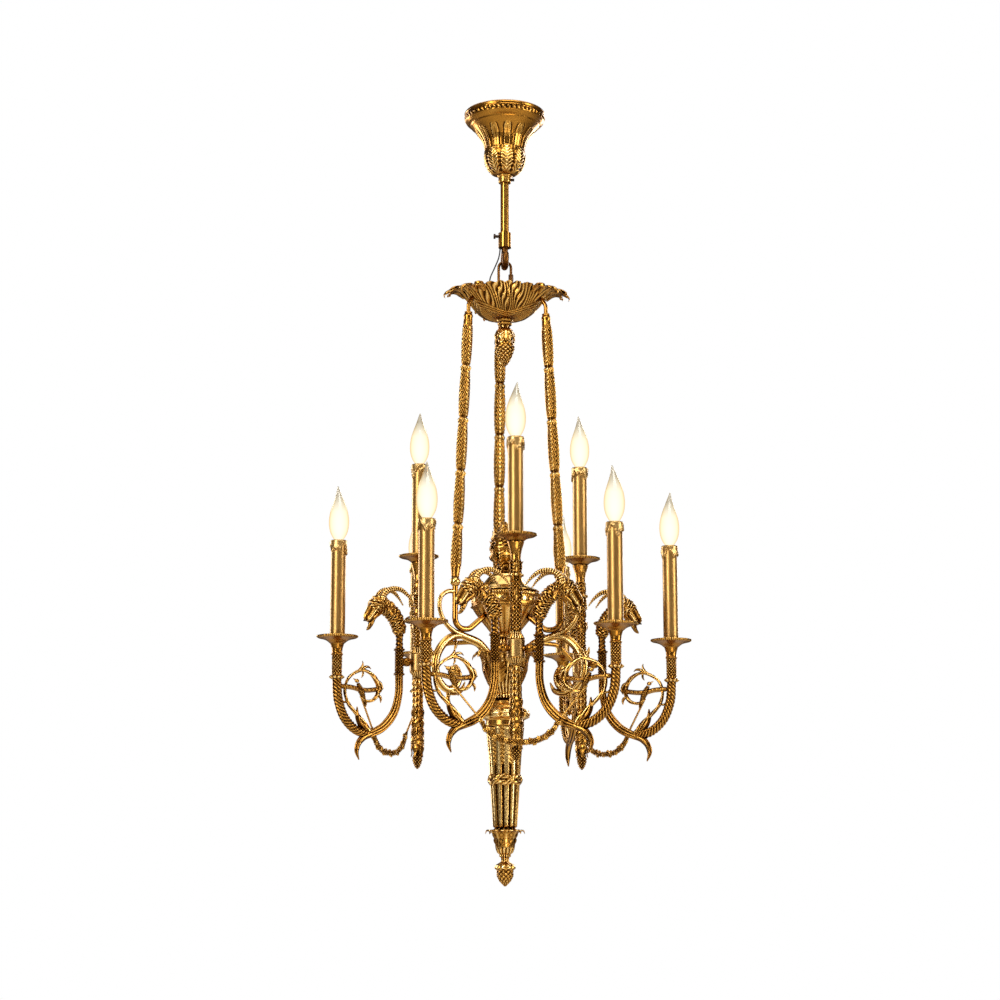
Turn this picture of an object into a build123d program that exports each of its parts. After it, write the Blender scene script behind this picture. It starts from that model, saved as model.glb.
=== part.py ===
"""Nine-light brass chandelier with goat heads, urn and leaf crown.

Origin at the middle of the ceiling plane, +Z up, front group of lights towards -Y.
Millimetres. Everything hangs below the ceiling, so heights are negative.
"""

import os
from math import atan2, cos, hypot, radians, sin, tan

from build123d import *

# ---------------------------------------------------------------- driving sizes
seat_gap = 0.1            # radial gap of a piece pushed over its shaft
running_gap = 0.06        # radial gap of a piece that slides or screws
free_gap = 0.3            # gap between loose curved pieces

# ceiling end
bracket_length = 112.0
bracket_width = 26.0
bracket_thickness = 3.0
bracket_screw_spacing = 80.0
bracket_screw_radius = 2.75
boss_radius = 12.0
boss_height = 12.0
rod_radius = 7.7
rod_bore = 5.0
locknut_height = 7.0
canopy_radius = 73.0
canopy_waist = 37.0
canopy_height = 118.0
canopy_wall = 1.6
collar_radius = 11.5
collar_height = 14.0
set_screw_radius = 2.5
set_screw_length = 9.0
drop_length = 226.0       # ceiling to the top of the hook collar
hook_collar_height = 27.0
hook_wire = 6.0
hook_bend = 14.0
link_wire = 2.5
link_bend = 11.0
link_straight = 24.8
link_nut_radius = 4.5
link_nut_length = 12.0
eye_wire = 3.5
eye_bore = 6.0
cord_radius = 1.2
terminal_size = 16.0

# crown
bowl_radius = 66.0
bowl_depth = 69.0
bowl_wall = 2.0
crown_reach = 112.0
crown_leaf_span = 84.0    # degrees of arc of each leaf group
stem_radius = 5.0
crown_hub_radius = 13.0
crown_hub_height = 9.0
bud_radius = 17.5
bud_length = 74.0
rod_hook_wire = 3.5
rod_hook_reach = 79.0     # where the suspension rods hang from the crown

# suspension
suspension_drop = 479.0   # height between the rod hooks and the ball nuts
ball_reach = 105.0
suspension_radius = 10.0
suspension_neck = 7.5
suspension_segments = 5
ball_radius = 10.0
scroll_tube = 5.0
scroll_band = 3.8

# centre
tie_rod_radius = 4.0
urn_radius = 60.0
urn_band = 24.0
lid_height = 34.0
lid_top_radius = 28.0
urn_bowl_depth = 56.0
urn_foot_radius = 20.0
urn_wall = 2.5
urn_finial_height = 92.0
urn_finial_radius = 27.0
calyx_radius = 57.0
calyx_height = 103.0
calyx_foot_radius = 22.0
hub_radius = 42.0
hub_height = 49.0
quiver_length = 169.0
quiver_top_radius = 31.0
quiver_foot_radius = 19.0
rope_band_radius = 28.0
rope_band_height = 17.0
cup_length = 50.0
cup_lip_radius = 33.0
acorn_radius = 16.0
acorn_length = 48.0

# groups of lights
group_reach = 167.0       # chandelier axis to a group's stem
side_reach = 172.0        # stem to a side candle
cross_reach = 108.0       # stem to the crossing of a side arm's two tubes
arm_spread = 63.0         # degrees between the radial line and a side arm
drum_drop = 114.0         # urn rim to the middle of a drum
drum_radius = 15.0
drum_height = 30.0
drum_cone = 13.0
stem_radius_thick = 8.0
stem_height = 188.0       # drum middle to the underside of the tall pan
trumpet_height = 40.0
drop_shaft_length = 127.0
drop_bud_radius = 11.0
drop_bud_length = 30.0
bracket_tube = 4.0
neck_sleeve_radius = 7.5
neck_reach = 41.0
arm_radius = 7.0
rope_arm_radius = 7.8
collar_ring_radius = 12.0
head_radius = 16.0
horn_radius = 3.5
vine_radius = 36.0
vine_wire = 2.4
vine_stalk = 3.2
garland_radius = 5.5
chain_radius = 1.2
pan_radius = 36.0
pan_thickness = 2.0
pan_depth = 7.0
candle_radius = 13.0
candle_wall = 1.0
candle_length = 167.0
drip_ring_wall = 2.5
drip_ring_height = 14.0
holder_clearance = 1.0
holder_length = 44.0
bulb_radius = 17.5
bulb_length = 95.0
bulb_cap_radius = 7.0
bulb_cap_length = 25.0

# The candle tube sets what stands inside it and the wax ring round its top.
drip_ring_radius = candle_radius + drip_ring_wall
holder_radius = candle_radius - candle_wall - holder_clearance

# ---------------------------------------------------------------- heights that follow
hook_collar_top = -drop_length
hook_collar_foot = hook_collar_top - hook_collar_height
hook_centre = hook_collar_foot - 7 - hook_bend
hook_low = hook_centre - hook_bend
link_top = hook_low + hook_wire + link_wire + free_gap
link_foot = link_top - 2 * link_bend - link_straight
eye_bend = eye_bore + eye_wire
eye_centre = link_foot - (eye_bore - link_wire) + free_gap
bowl_rim = eye_centre + 11
bowl_foot = bowl_rim - bowl_depth
crown_hub_foot = bowl_foot - crown_hub_height
bud_tip = crown_hub_foot - bud_length
rod_hook_level = bowl_foot + 2
ball_level = rod_hook_level - suspension_drop
rim_level = ball_level - 12
urn_band_foot = rim_level - urn_band
urn_foot = urn_band_foot - urn_bowl_depth
lid_top = rim_level + lid_height
calyx_foot = urn_foot - calyx_height
hub_foot = calyx_foot - hub_height
quiver_foot = hub_foot - quiver_length
cup_foot = quiver_foot - cup_length
acorn_tip = cup_foot - acorn_length
tie_rod_bore = tie_rod_radius + seat_gap
drum_level = rim_level - drum_drop
high_pan = drum_level + stem_height
low_pan = high_pan - 155

GROUPS = {"front": 0.0, "right": 120.0, "left": 240.0}
ROD_ANGLES = {"right": 60.0, "back": 180.0, "left": 300.0}
SIDES = {"left": -1, "right": 1}

os.makedirs("parts", exist_ok=True)


def heading(angle):
    """Unit direction on the plan for an angle from the front (-Y) towards +X."""
    return Vector(sin(radians(angle)), -cos(radians(angle)), 0)


def upright(origin, direction):
    """Plane whose x runs along a level direction and whose y points up."""
    return Plane(origin=origin, x_dir=direction, z_dir=(direction.Y, -direction.X, 0))


def turned(*outline):
    """Spin a closed outline of (radius, height) points about the part's own axis."""
    with BuildSketch(Plane.XZ) as profile:
        with BuildLine():
            Polyline(*outline, close=True)
        make_face()
    revolve(profile.sketch, axis=Axis.Z)


def round_bar(wire, radius):
    """Round bar whose middle line is a wire."""
    with BuildSketch(Plane(origin=wire @ 0, z_dir=wire % 0)) as section:
        Circle(radius)
    sweep(section.sketch, path=wire)


def bent_rod(plane, points, radius, bends):
    """Round bar along straight runs in a plane, with one bend radius for each corner."""
    with BuildLine(plane) as route:
        FilletPolyline(*points, radius=bends)
    round_bar(route.wires()[0], radius)


def save(piece, name):
    """Name a finished piece and write its file."""
    piece.part.label = name
    export_step(piece.part, f"parts/{name}.step")


# ---------------------------------------------------------------- ceiling end
with BuildPart() as ceiling_bracket:
    with BuildSketch():
        SlotOverall(bracket_length, bracket_width)
        with GridLocations(bracket_screw_spacing, 0, 2, 1):
            Circle(bracket_screw_radius, mode=Mode.SUBTRACT)
    extrude(amount=-bracket_thickness)
    with BuildSketch(Plane.XY.offset(-bracket_thickness)):
        Circle(boss_radius)
    extrude(amount=-boss_height)
    with BuildSketch(Plane.XY.offset(-bracket_thickness)):
        Circle(rod_radius + seat_gap)
    extrude(amount=-boss_height, mode=Mode.SUBTRACT)
    with BuildSketch():
        Circle(rod_bore)
    extrude(amount=-bracket_thickness, mode=Mode.SUBTRACT)
save(ceiling_bracket, "ceiling_bracket")

with BuildPart() as down_rod:
    with BuildSketch(Plane.XY.offset(-bracket_thickness)):
        Circle(rod_radius)
        Circle(rod_bore, mode=Mode.SUBTRACT)
    extrude(amount=hook_collar_top - 12 + bracket_thickness)
save(down_rod, "down_rod")

with BuildPart() as rod_locknut:
    with BuildSketch(Plane.XY.offset(-bracket_thickness - boss_height)):
        RegularPolygon(boss_radius, 6)
        Circle(rod_radius + seat_gap, mode=Mode.SUBTRACT)
    extrude(amount=-locknut_height)
save(rod_locknut, "rod_locknut")

with BuildPart() as canopy:
    turned(
        (canopy_radius, 0),
        (canopy_radius, -8),
        (canopy_radius - 3, -17),
        (canopy_waist + 20, -31),
        (canopy_waist + 5, -52),
        (canopy_waist, -72),
        (canopy_waist, -92),
        (canopy_waist - 7, -107),
        (collar_radius, -canopy_height),
        (rod_radius + 1, -canopy_height),
        (rod_radius + 1, canopy_wall - canopy_height),
        (canopy_waist - 7 - canopy_wall, canopy_wall - 107),
        (canopy_waist - canopy_wall, -91),
        (canopy_waist - canopy_wall, -72),
        (canopy_waist + 5 - canopy_wall, -52 + canopy_wall),
        (canopy_waist + 20 - canopy_wall, -31 + canopy_wall),
        (canopy_radius - 3 - canopy_wall, -17 + canopy_wall),
        (canopy_radius - canopy_wall, -8),
        (canopy_radius - canopy_wall, 0),
    )
save(canopy, "canopy")

collar_screw_level = -canopy_height - collar_height / 2
with BuildPart() as canopy_collar:
    with BuildSketch(Plane.XY.offset(-canopy_height)):
        Circle(collar_radius)
        Circle(rod_radius + running_gap, mode=Mode.SUBTRACT)
    extrude(amount=-collar_height)
    with BuildSketch(Plane.YZ):
        with Locations((0, collar_screw_level)):
            Circle(set_screw_radius + running_gap)
    extrude(amount=collar_radius + 1, mode=Mode.SUBTRACT)
save(canopy_collar, "canopy_collar")

with BuildPart() as canopy_set_screw:
    with BuildSketch(Plane.YZ.offset(rod_radius + free_gap)):
        with Locations((0, collar_screw_level)):
            Circle(set_screw_radius)
    extrude(amount=set_screw_length)
save(canopy_set_screw, "canopy_set_screw")

thumb_screw_level = hook_collar_top - 6
with BuildPart() as hook_collar:
    turned(
        (0, hook_collar_foot),
        (collar_radius, hook_collar_foot),
        (collar_radius, hook_collar_top),
        (rod_radius + seat_gap, hook_collar_top),
        (rod_radius + seat_gap, hook_collar_top - 12),
        (0, hook_collar_top - 12),
    )
    with BuildSketch(Plane.YZ.offset(-collar_radius - 1)):
        with Locations((0, thumb_screw_level)):
            Circle(set_screw_radius + running_gap)
    extrude(amount=collar_radius + 1 - rod_radius, mode=Mode.SUBTRACT)
    with BuildSketch(Plane.XY.offset(hook_collar_foot)):
        Circle(hook_wire / 2 + seat_gap)
    extrude(amount=10, mode=Mode.SUBTRACT)
save(hook_collar, "hook_collar")

with BuildPart() as hook_thumb_screw:
    with BuildSketch(Plane.YZ.offset(-rod_radius - free_gap)):
        with Locations((0, thumb_screw_level)):
            Circle(set_screw_radius)
    extrude(amount=-set_screw_length)
    with BuildSketch(Plane.YZ.offset(-rod_radius - free_gap - set_screw_length)):
        with Locations((0, thumb_screw_level)):
            Circle(set_screw_radius + 2)
    extrude(amount=-3)
save(hook_thumb_screw, "hook_thumb_screw")

with BuildPart() as hook:
    with BuildSketch(Plane.XY.offset(hook_collar_foot + 10)):
        Circle(hook_wire / 2)
    extrude(amount=-10)
    with BuildSketch(Plane.XY.offset(hook_collar_foot)):
        Circle(hook_wire)
    extrude(amount=-8)
    with BuildLine(Plane.YZ) as hook_route:
        CenterArc((0, hook_centre), hook_bend, 90, -300)
    round_bar(hook_route.wires()[0], hook_wire)
save(hook, "hook")

# the link is open beside its nut, which bridges the gap when it is screwed down
bend_top = link_top - link_bend
bend_foot = link_foot + link_bend
nut_foot = bend_foot - 1
link_gap_foot = nut_foot + 2
link_gap_top = nut_foot + 8
with BuildPart() as link:
    with BuildLine(Plane.XZ) as link_route:
        Line((link_bend, link_gap_top), (link_bend, bend_top))
        CenterArc((0, bend_top), link_bend, 0, 180)
        Line((-link_bend, bend_top), (-link_bend, bend_foot))
        CenterArc((0, bend_foot), link_bend, 180, 180)
        Line((link_bend, bend_foot), (link_bend, link_gap_foot))
    round_bar(link_route.wires()[0], link_wire)
save(link, "link")

with BuildPart() as link_nut:
    with BuildSketch(Plane.XY.offset(nut_foot + free_gap + 1)):
        with Locations((link_bend, 0)):
            RegularPolygon(link_nut_radius, 6)
            Circle(link_wire + running_gap, mode=Mode.SUBTRACT)
    extrude(amount=link_nut_length)
save(link_nut, "link_nut")

# ---------------------------------------------------------------- crown
stem_foot = crown_hub_foot - 6
terminal_top = bowl_rim - 42
with BuildPart() as crown_eye:
    with Locations((0, 0, eye_centre)):
        Torus(eye_bend, eye_wire, rotation=(0, 90, 0))
    with BuildSketch(Plane.XY.offset(eye_centre - eye_bend)):
        Circle(stem_radius)
    extrude(amount=stem_foot - eye_centre + eye_bend)
save(crown_eye, "crown_eye")

with BuildPart() as terminal_block:
    with BuildSketch(Plane.XY.offset(terminal_top)):
        with Locations((-terminal_size / 2, 0)):
            RectangleRounded(terminal_size * 2, terminal_size, 2)
        Circle(stem_radius + seat_gap, mode=Mode.SUBTRACT)
    extrude(amount=-terminal_size * 0.75)
save(terminal_block, "terminal_block")

supply_cord_points = [
    (-8.6, 0, -253.0),
    (-8.6, 0, -267.0),
    (-18.0, 1.5, -290.0),
    (-30.0, -0.5, -317.0),
    (-20.0, 0, -345.0),
    (-20.0, 0, -360.2),
]


def cord_bends(points):
    """Largest radius for each corner of a cord's route."""
    corners = [Vector(*point) for point in points]
    bends = []
    for before, corner, after in zip(corners, corners[1:], corners[2:]):
        half_turn = radians((corner - before).get_angle(after - corner)) / 2
        shorter = min((corner - before).length, (after - corner).length)
        bends.append(0.45 * shorter / tan(half_turn))
    return bends


supply_cord_bends = cord_bends(supply_cord_points)
print("supply cord bends", [round(bend, 1) for bend in supply_cord_bends])
with BuildPart() as supply_cord:
    with BuildLine() as cord_route:
        FilletPolyline(*supply_cord_points, radius=supply_cord_bends)
    round_bar(cord_route.wires()[0], cord_radius)
cord_length = cord_route.wires()[0].length
print("supply cord length", round(cord_length, 1))
save(supply_cord, "supply_cord")

with BuildPart() as crown_bowl:
    turned(
        (bowl_radius, bowl_rim),
        (bowl_radius - 2, bowl_rim - 17),
        (bowl_radius - 8, bowl_rim - 34),
        (bowl_radius - 22, bowl_rim - 54),
        (crown_hub_radius + 10, bowl_foot + 2),
        (crown_hub_radius, bowl_foot),
        (stem_radius + seat_gap, bowl_foot),
        (stem_radius + seat_gap, bowl_foot + bowl_wall),
        (crown_hub_radius, bowl_foot + bowl_wall),
        (crown_hub_radius + 10, bowl_foot + 2 + bowl_wall),
        (bowl_radius - 22 - bowl_wall, bowl_rim - 54 + bowl_wall),
        (bowl_radius - 8 - bowl_wall, bowl_rim - 34 + bowl_wall),
        (bowl_radius - 2 - bowl_wall, bowl_rim - 17),
        (bowl_radius - bowl_wall, bowl_rim),
    )
save(crown_bowl, "crown_bowl")

with BuildPart() as crown_leaves:
    for turn in GROUPS.values():
        side = upright((0, 0, 0), heading(turn - crown_leaf_span / 2))
        with BuildSketch(side) as leaf:
            with BuildLine():
                Polyline(
                    (bowl_radius - 4, bowl_rim - 26),
                    (bowl_radius + 4, bowl_rim - 8),
                    (bowl_radius + 16, bowl_rim + 1),
                    (crown_reach - 14, bowl_rim - 8),
                    (crown_reach, bowl_rim - 28),
                    (crown_reach - 4, bowl_rim - 28),
                    (crown_reach - 16, bowl_rim - 11),
                    (bowl_radius + 16, bowl_rim - 3),
                    (bowl_radius + 7, bowl_rim - 11),
                    (bowl_radius - 1, bowl_rim - 28),
                    close=True,
                )
            make_face()
        revolve(leaf.sketch, axis=Axis.Z, revolution_arc=crown_leaf_span)
save(crown_leaves, "crown_leaves")

with BuildPart() as crown_hub:
    turned(
        (stem_radius + seat_gap, bowl_foot),
        (crown_hub_radius, bowl_foot),
        (crown_hub_radius, bowl_foot - 4),
        (crown_hub_radius - 3, crown_hub_foot),
        (stem_radius + seat_gap, crown_hub_foot),
    )
save(crown_hub, "crown_hub")

with BuildPart() as crown_bud:
    turned(
        (0, bud_tip),
        (bud_radius * 0.5, bud_tip + bud_length * 0.15),
        (bud_radius, bud_tip + bud_length * 0.5),
        (bud_radius - 3, bud_tip + bud_length * 0.8),
        (crown_hub_radius - 3, crown_hub_foot),
        (stem_radius + seat_gap, crown_hub_foot),
        (stem_radius + seat_gap, stem_foot),
        (0, stem_foot),
    )
save(crown_bud, "crown_bud")

with BuildPart() as rod_hooks:
    for turn in ROD_ANGLES.values():
        points = [
            (bowl_radius - 9, bowl_rim - 36),
            (rod_hook_reach - 7, bowl_rim - 38),
            (rod_hook_reach, bowl_rim - 52),
            (rod_hook_reach, rod_hook_level - 3),
        ]
        bent_rod(upright((0, 0, 0), heading(turn)), points, rod_hook_wire, [8, 10])
save(rod_hooks, "rod_hooks")

# ---------------------------------------------------------------- suspension
rod_foot = ball_level + ball_radius - 2
rod_lean = atan2(ball_reach - rod_hook_reach, rod_hook_level - rod_foot)
rod_length = hypot(ball_reach - rod_hook_reach, rod_hook_level - rod_foot)
segment = rod_length / suspension_segments
rod_outline = []
for index in range(suspension_segments):
    start = -index * segment
    rod_outline.append((suspension_neck, start))
    rod_outline.append((suspension_radius, start - segment * 0.4))
    rod_outline.append((suspension_radius, start - segment * 0.75))
rod_outline.append((suspension_neck, -rod_length))
rod_outline.append((cord_radius + 2, -rod_length))
rod_outline.append((cord_radius + 2, 0))
for name, turn in ROD_ANGLES.items():
    outward = heading(turn)
    top = outward * rod_hook_reach + Vector(0, 0, rod_hook_level)
    down = outward * sin(rod_lean) + Vector(0, 0, -cos(rod_lean))
    across = outward * cos(rod_lean) + Vector(0, 0, sin(rod_lean))
    rod_plane = Plane(origin=top, x_dir=across, z_dir=(outward.Y, -outward.X, 0))
    with BuildPart() as suspension_rod:
        with BuildSketch(rod_plane) as profile:
            with BuildLine():
                Polyline(*rod_outline, close=True)
            make_face()
        revolve(profile.sketch, axis=Axis(top, down))
    save(suspension_rod, f"suspension_rod_{name}")

ball_spots = [heading(turn) * ball_reach + Vector(0, 0, ball_level) for turn in ROD_ANGLES.values()]
with BuildPart() as ball_nuts:
    with Locations(*ball_spots):
        Sphere(ball_radius)
save(ball_nuts, "ball_nuts")

with BuildPart() as urn_tubes:
    for turn in ROD_ANGLES.values():
        points = [
            (ball_reach, ball_level - ball_radius + 2),
            (ball_reach, rim_level - 68),
            (ball_reach - 29, rim_level - 68),
            (urn_radius - 14, urn_band_foot - 20),
        ]
        bent_rod(upright((0, 0, 0), heading(turn)), points, scroll_tube, [18, 20])
save(urn_tubes, "urn_tubes")

# each scroll rises out of the calyx, loops back up to the tube and curls into a volute
arch_level = rim_level - 82
arch_foot = urn_foot - 36
with BuildPart() as scrolls:
    for turn in ROD_ANGLES.values():
        plane = upright((0, 0, 0), heading(turn))
        loop_points = [
            (ball_reach, ball_level - 18),
            (ball_reach + 30, ball_level - 16),
            (ball_reach + 34, rim_level - 48),
            (ball_reach - 10, arch_level),
            (calyx_radius, arch_level),
            (calyx_foot_radius + 3, arch_foot),
        ]
        bent_rod(plane, loop_points, scroll_band, [14, 14, 25, 25])
        volute_points = [
            (ball_reach - 13, arch_level),
            (ball_reach + 25, arch_level - 4),
            (ball_reach + 45, rim_level - 126),
            (ball_reach + 35, rim_level - 178),
            (ball_reach + 8, rim_level - 188),
            (ball_reach - 8, rim_level - 158),
            (ball_reach + 10, rim_level - 134),
        ]
        bent_rod(plane, volute_points, scroll_band, [25, 30, 18, 15, 12])
save(scrolls, "scrolls")

# ---------------------------------------------------------------- centre
with BuildPart() as tie_rod:
    with BuildSketch(Plane.XY.offset(lid_top + 12)):
        Circle(tie_rod_radius)
    extrude(amount=cup_foot - 20 - lid_top - 12)
save(tie_rod, "tie_rod")

with BuildPart() as urn_finial:
    finial_tip = lid_top + urn_finial_height
    turned(
        (0, finial_tip),
        (urn_finial_radius * 0.5, finial_tip - urn_finial_height * 0.25),
        (urn_finial_radius, finial_tip - urn_finial_height * 0.55),
        (urn_finial_radius, finial_tip - urn_finial_height * 0.8),
        (urn_finial_radius * 0.55, lid_top),
        (tie_rod_bore, lid_top),
        (tie_rod_bore, lid_top + 12),
        (0, lid_top + 12),
    )
save(urn_finial, "urn_finial")

with BuildPart() as urn_lid:
    turned(
        (tie_rod_bore, lid_top),
        (lid_top_radius, lid_top),
        (lid_top_radius, lid_top - 5),
        (lid_top_radius + 3, lid_top - 20),
        (lid_top_radius + 16, rim_level + 4),
        (urn_radius, rim_level),
        (tie_rod_bore, rim_level),
    )
save(urn_lid, "urn_lid")

with BuildPart() as urn_body:
    turned(
        (urn_radius - 1, rim_level),
        (urn_radius - 1, urn_band_foot),
        (urn_radius, urn_band_foot - 8),
        (urn_radius - 12, urn_band_foot - 20),
        (urn_radius - 30, urn_band_foot - 38),
        (urn_foot_radius, urn_foot),
        (tie_rod_bore, urn_foot),
        (tie_rod_bore, urn_foot + urn_wall),
        (urn_foot_radius - urn_wall, urn_foot + urn_wall),
        (urn_radius - 30 - urn_wall, urn_band_foot - 38 + urn_wall),
        (urn_radius - 12 - urn_wall, urn_band_foot - 20 + urn_wall),
        (urn_radius - 1 - urn_wall, urn_band_foot - 6),
        (urn_radius - 1 - urn_wall, rim_level),
    )
save(urn_body, "urn_body")

with BuildPart() as calyx:
    turned(
        (tie_rod_bore, urn_foot),
        (urn_foot_radius, urn_foot),
        (urn_foot_radius, urn_foot - 44),
        (urn_foot_radius + 6, urn_foot - 44),
        (calyx_radius - 18, urn_foot - 34),
        (calyx_radius - 3, urn_foot - 27),
        (calyx_radius, urn_foot - 31),
        (calyx_radius - 15, urn_foot - 60),
        (calyx_foot_radius + 9, urn_foot - 82),
        (calyx_foot_radius, calyx_foot),
        (tie_rod_bore, calyx_foot),
    )
save(calyx, "calyx")

with BuildPart() as hub:
    turned(
        (tie_rod_bore, calyx_foot),
        (calyx_foot_radius - 3, calyx_foot),
        (calyx_foot_radius + 3, calyx_foot - 20),
        (hub_radius, calyx_foot - 30),
        (hub_radius, hub_foot + 4),
        (quiver_top_radius - 4, hub_foot),
        (tie_rod_bore, hub_foot),
    )
save(hub, "hub")

rope_band_level = hub_foot - 80
quiver_slope = (quiver_top_radius - quiver_foot_radius) / quiver_length
quiver_at_band = quiver_top_radius - quiver_slope * 80 - 2
with BuildPart() as quiver:
    turned(
        (tie_rod_bore, hub_foot),
        (quiver_top_radius - 4, hub_foot),
        (quiver_top_radius, hub_foot - 11),
        (quiver_at_band, rope_band_level),
        (quiver_at_band, rope_band_level - rope_band_height),
        (quiver_foot_radius, quiver_foot),
        (tie_rod_bore, quiver_foot),
    )
save(quiver, "quiver")

with BuildPart() as rope_band:
    with BuildSketch(Plane.XY.offset(rope_band_level)):
        Circle(rope_band_radius)
        Circle(quiver_at_band, mode=Mode.SUBTRACT)
    extrude(amount=-rope_band_height)
save(rope_band, "rope_band")

with BuildPart() as leaf_cup:
    turned(
        (tie_rod_bore, quiver_foot),
        (quiver_foot_radius, quiver_foot),
        (cup_lip_radius, quiver_foot - 3),
        (cup_lip_radius, quiver_foot - 7),
        (quiver_foot_radius, quiver_foot - 12),
        (quiver_foot_radius - 4, cup_foot + 8),
        (10, cup_foot),
        (tie_rod_bore, cup_foot),
    )
save(leaf_cup, "leaf_cup")

with BuildPart() as acorn:
    turned(
        (0, acorn_tip),
        (acorn_radius * 0.7, acorn_tip + acorn_length * 0.3),
        (acorn_radius, acorn_tip + acorn_length * 0.65),
        (acorn_radius * 0.8, cup_foot - 7),
        (8, cup_foot),
        (tie_rod_bore, cup_foot),
        (tie_rod_bore, cup_foot - 20),
        (0, cup_foot - 20),
    )
save(acorn, "acorn")

# ---------------------------------------------------------------- groups of lights
stem_spots = {name: heading(turn) * group_reach for name, turn in GROUPS.items()}
side_planes = {}
lamp_spots = {}
for name, turn in GROUPS.items():
    lamp_spots[f"{name}_high"] = stem_spots[name] + Vector(0, 0, high_pan)
    for side, sign in SIDES.items():
        direction = heading(turn + sign * arm_spread)
        side_planes[name, side] = upright(stem_spots[name] + Vector(0, 0, drum_level), direction)
        lamp_spots[f"{name}_{side}"] = stem_spots[name] + direction * side_reach + Vector(0, 0, low_pan)

cone_top = drum_height / 2 + drum_cone
with BuildPart() as drum:
    turned(
        (0, cone_top),
        (stem_radius_thick, cone_top),
        (drum_radius, drum_height / 2),
        (drum_radius, -drum_height / 2),
        (stem_radius_thick, -cone_top),
        (0, -cone_top),
    )

drum_spots = [spot + Vector(0, 0, drum_level) for spot in stem_spots.values()]
with BuildPart() as drums:
    with Locations(*drum_spots):
        add(drum.part)
save(drums, "drums")

pan_seat = pan_thickness + pan_depth
with BuildPart() as stem:
    turned(
        (0, cone_top),
        (stem_radius_thick, cone_top),
        (stem_radius_thick, stem_height - pan_seat - trumpet_height),
        (candle_radius + 1, stem_height - pan_seat),
        (0, stem_height - pan_seat),
    )

with BuildPart() as stems:
    with Locations(*drum_spots):
        add(stem.part)
save(stems, "stems")

drop_foot = -cone_top - drop_shaft_length
with BuildPart() as drop_shaft:
    turned(
        (0, -cone_top),
        (stem_radius_thick, -cone_top),
        (stem_radius_thick, drop_foot),
        (drop_bud_radius, drop_foot - drop_bud_length * 0.4),
        (0, drop_foot - drop_bud_length),
    )

with BuildPart() as drop_shafts:
    with Locations(*drum_spots):
        add(drop_shaft.part)
save(drop_shafts, "drop_shafts")

with BuildPart() as group_brackets:
    for turn in GROUPS.values():
        points = [
            (urn_foot_radius + 4, arch_foot),
            (calyx_radius, arch_level),
            (group_reach - 50, arch_level),
            (group_reach - drum_radius + 1, drum_level),
        ]
        bent_rod(upright((0, 0, 0), heading(turn)), points, bracket_tube, [30, 35])
save(group_brackets, "group_brackets")

rope_arm_top = low_pan - drum_level - 71
for name in GROUPS:
    with BuildPart() as arms:
        for side in SIDES:
            plane = side_planes[name, side]
            tail_points = [
                (neck_reach, 18),
                (neck_reach, -52),
                (neck_reach + 21, -106),
                (cross_reach - 4, -131),
                (cross_reach + 20, -148),
                (cross_reach + 19, -172),
            ]
            bent_rod(plane, tail_points, arm_radius, [30, 35, 15, 10])
            rope_points = [
                (cross_reach - 4, -129),
                (side_reach - 32, -126),
                (side_reach, -92),
                (side_reach, rope_arm_top),
            ]
            bent_rod(plane, rope_points, rope_arm_radius, [20, 30])
            knob_points = [(drum_radius, 0), (neck_reach, 0)]
            with BuildLine(plane) as knob_route:
                Line(*knob_points)
            round_bar(knob_route.wires()[0], stem_radius_thick - 2)
    save(arms, f"arms_{name}")

with BuildPart() as goat:
    neck_points = [(neck_reach, 18), (neck_reach, 40), (neck_reach + 20, 76), (cross_reach - 18, 92)]
    bent_rod(Plane.XZ, neck_points, head_radius - 6, [20, 20])
    with Locations((cross_reach - 18, 0, 92)):
        Sphere(head_radius)
    muzzle = Vector(1, 0, -1.15).normalized()
    with BuildSketch(Plane(origin=(cross_reach - 18, 0, 92), z_dir=muzzle)) as brow:
        Circle(head_radius - 1)
    with BuildSketch(Plane(origin=(cross_reach - 18, 0, 92) + muzzle * 32, z_dir=muzzle)) as nose:
        Circle(head_radius / 2)
    loft([brow.sketch, nose.sketch])
    for lateral in (-1, 1):
        horn_plane = Plane.XZ.offset(lateral * head_radius / 2)
        horn_points = [
            (cross_reach - 20, 98),
            (cross_reach - 24, 134),
            (cross_reach - 56, 140),
            (cross_reach - 88, 104),
        ]
        bent_rod(horn_plane, horn_points, horn_radius, [12, 25])

for name in GROUPS:
    with BuildPart() as goats:
        for side in SIDES:
            plane = side_planes[name, side]
            place = Plane(origin=plane.origin, x_dir=plane.x_dir, z_dir=(0, 0, 1))
            add(goat.part.moved(place.location))
    save(goats, f"goats_{name}")

vine_centre = (side_reach - 51, -64)
with BuildPart() as vine_rings:
    for plane in side_planes.values():
        with BuildLine(plane) as vine_route:
            CenterArc(vine_centre, vine_radius, 100, 355)
        round_bar(vine_route.wires()[0], vine_wire)
        with BuildLine(plane) as bird_route:
            Line((vine_centre[0] - 43, vine_centre[1]), (vine_centre[0] + 43, vine_centre[1]))
        round_bar(bird_route.wires()[0], vine_wire * 2)
        with BuildLine(plane) as stalk_route:
            Line((cross_reach - 4, -124), (cross_reach - 4, -93))
        round_bar(stalk_route.wires()[0], vine_stalk)
save(vine_rings, "vine_rings")

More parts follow.
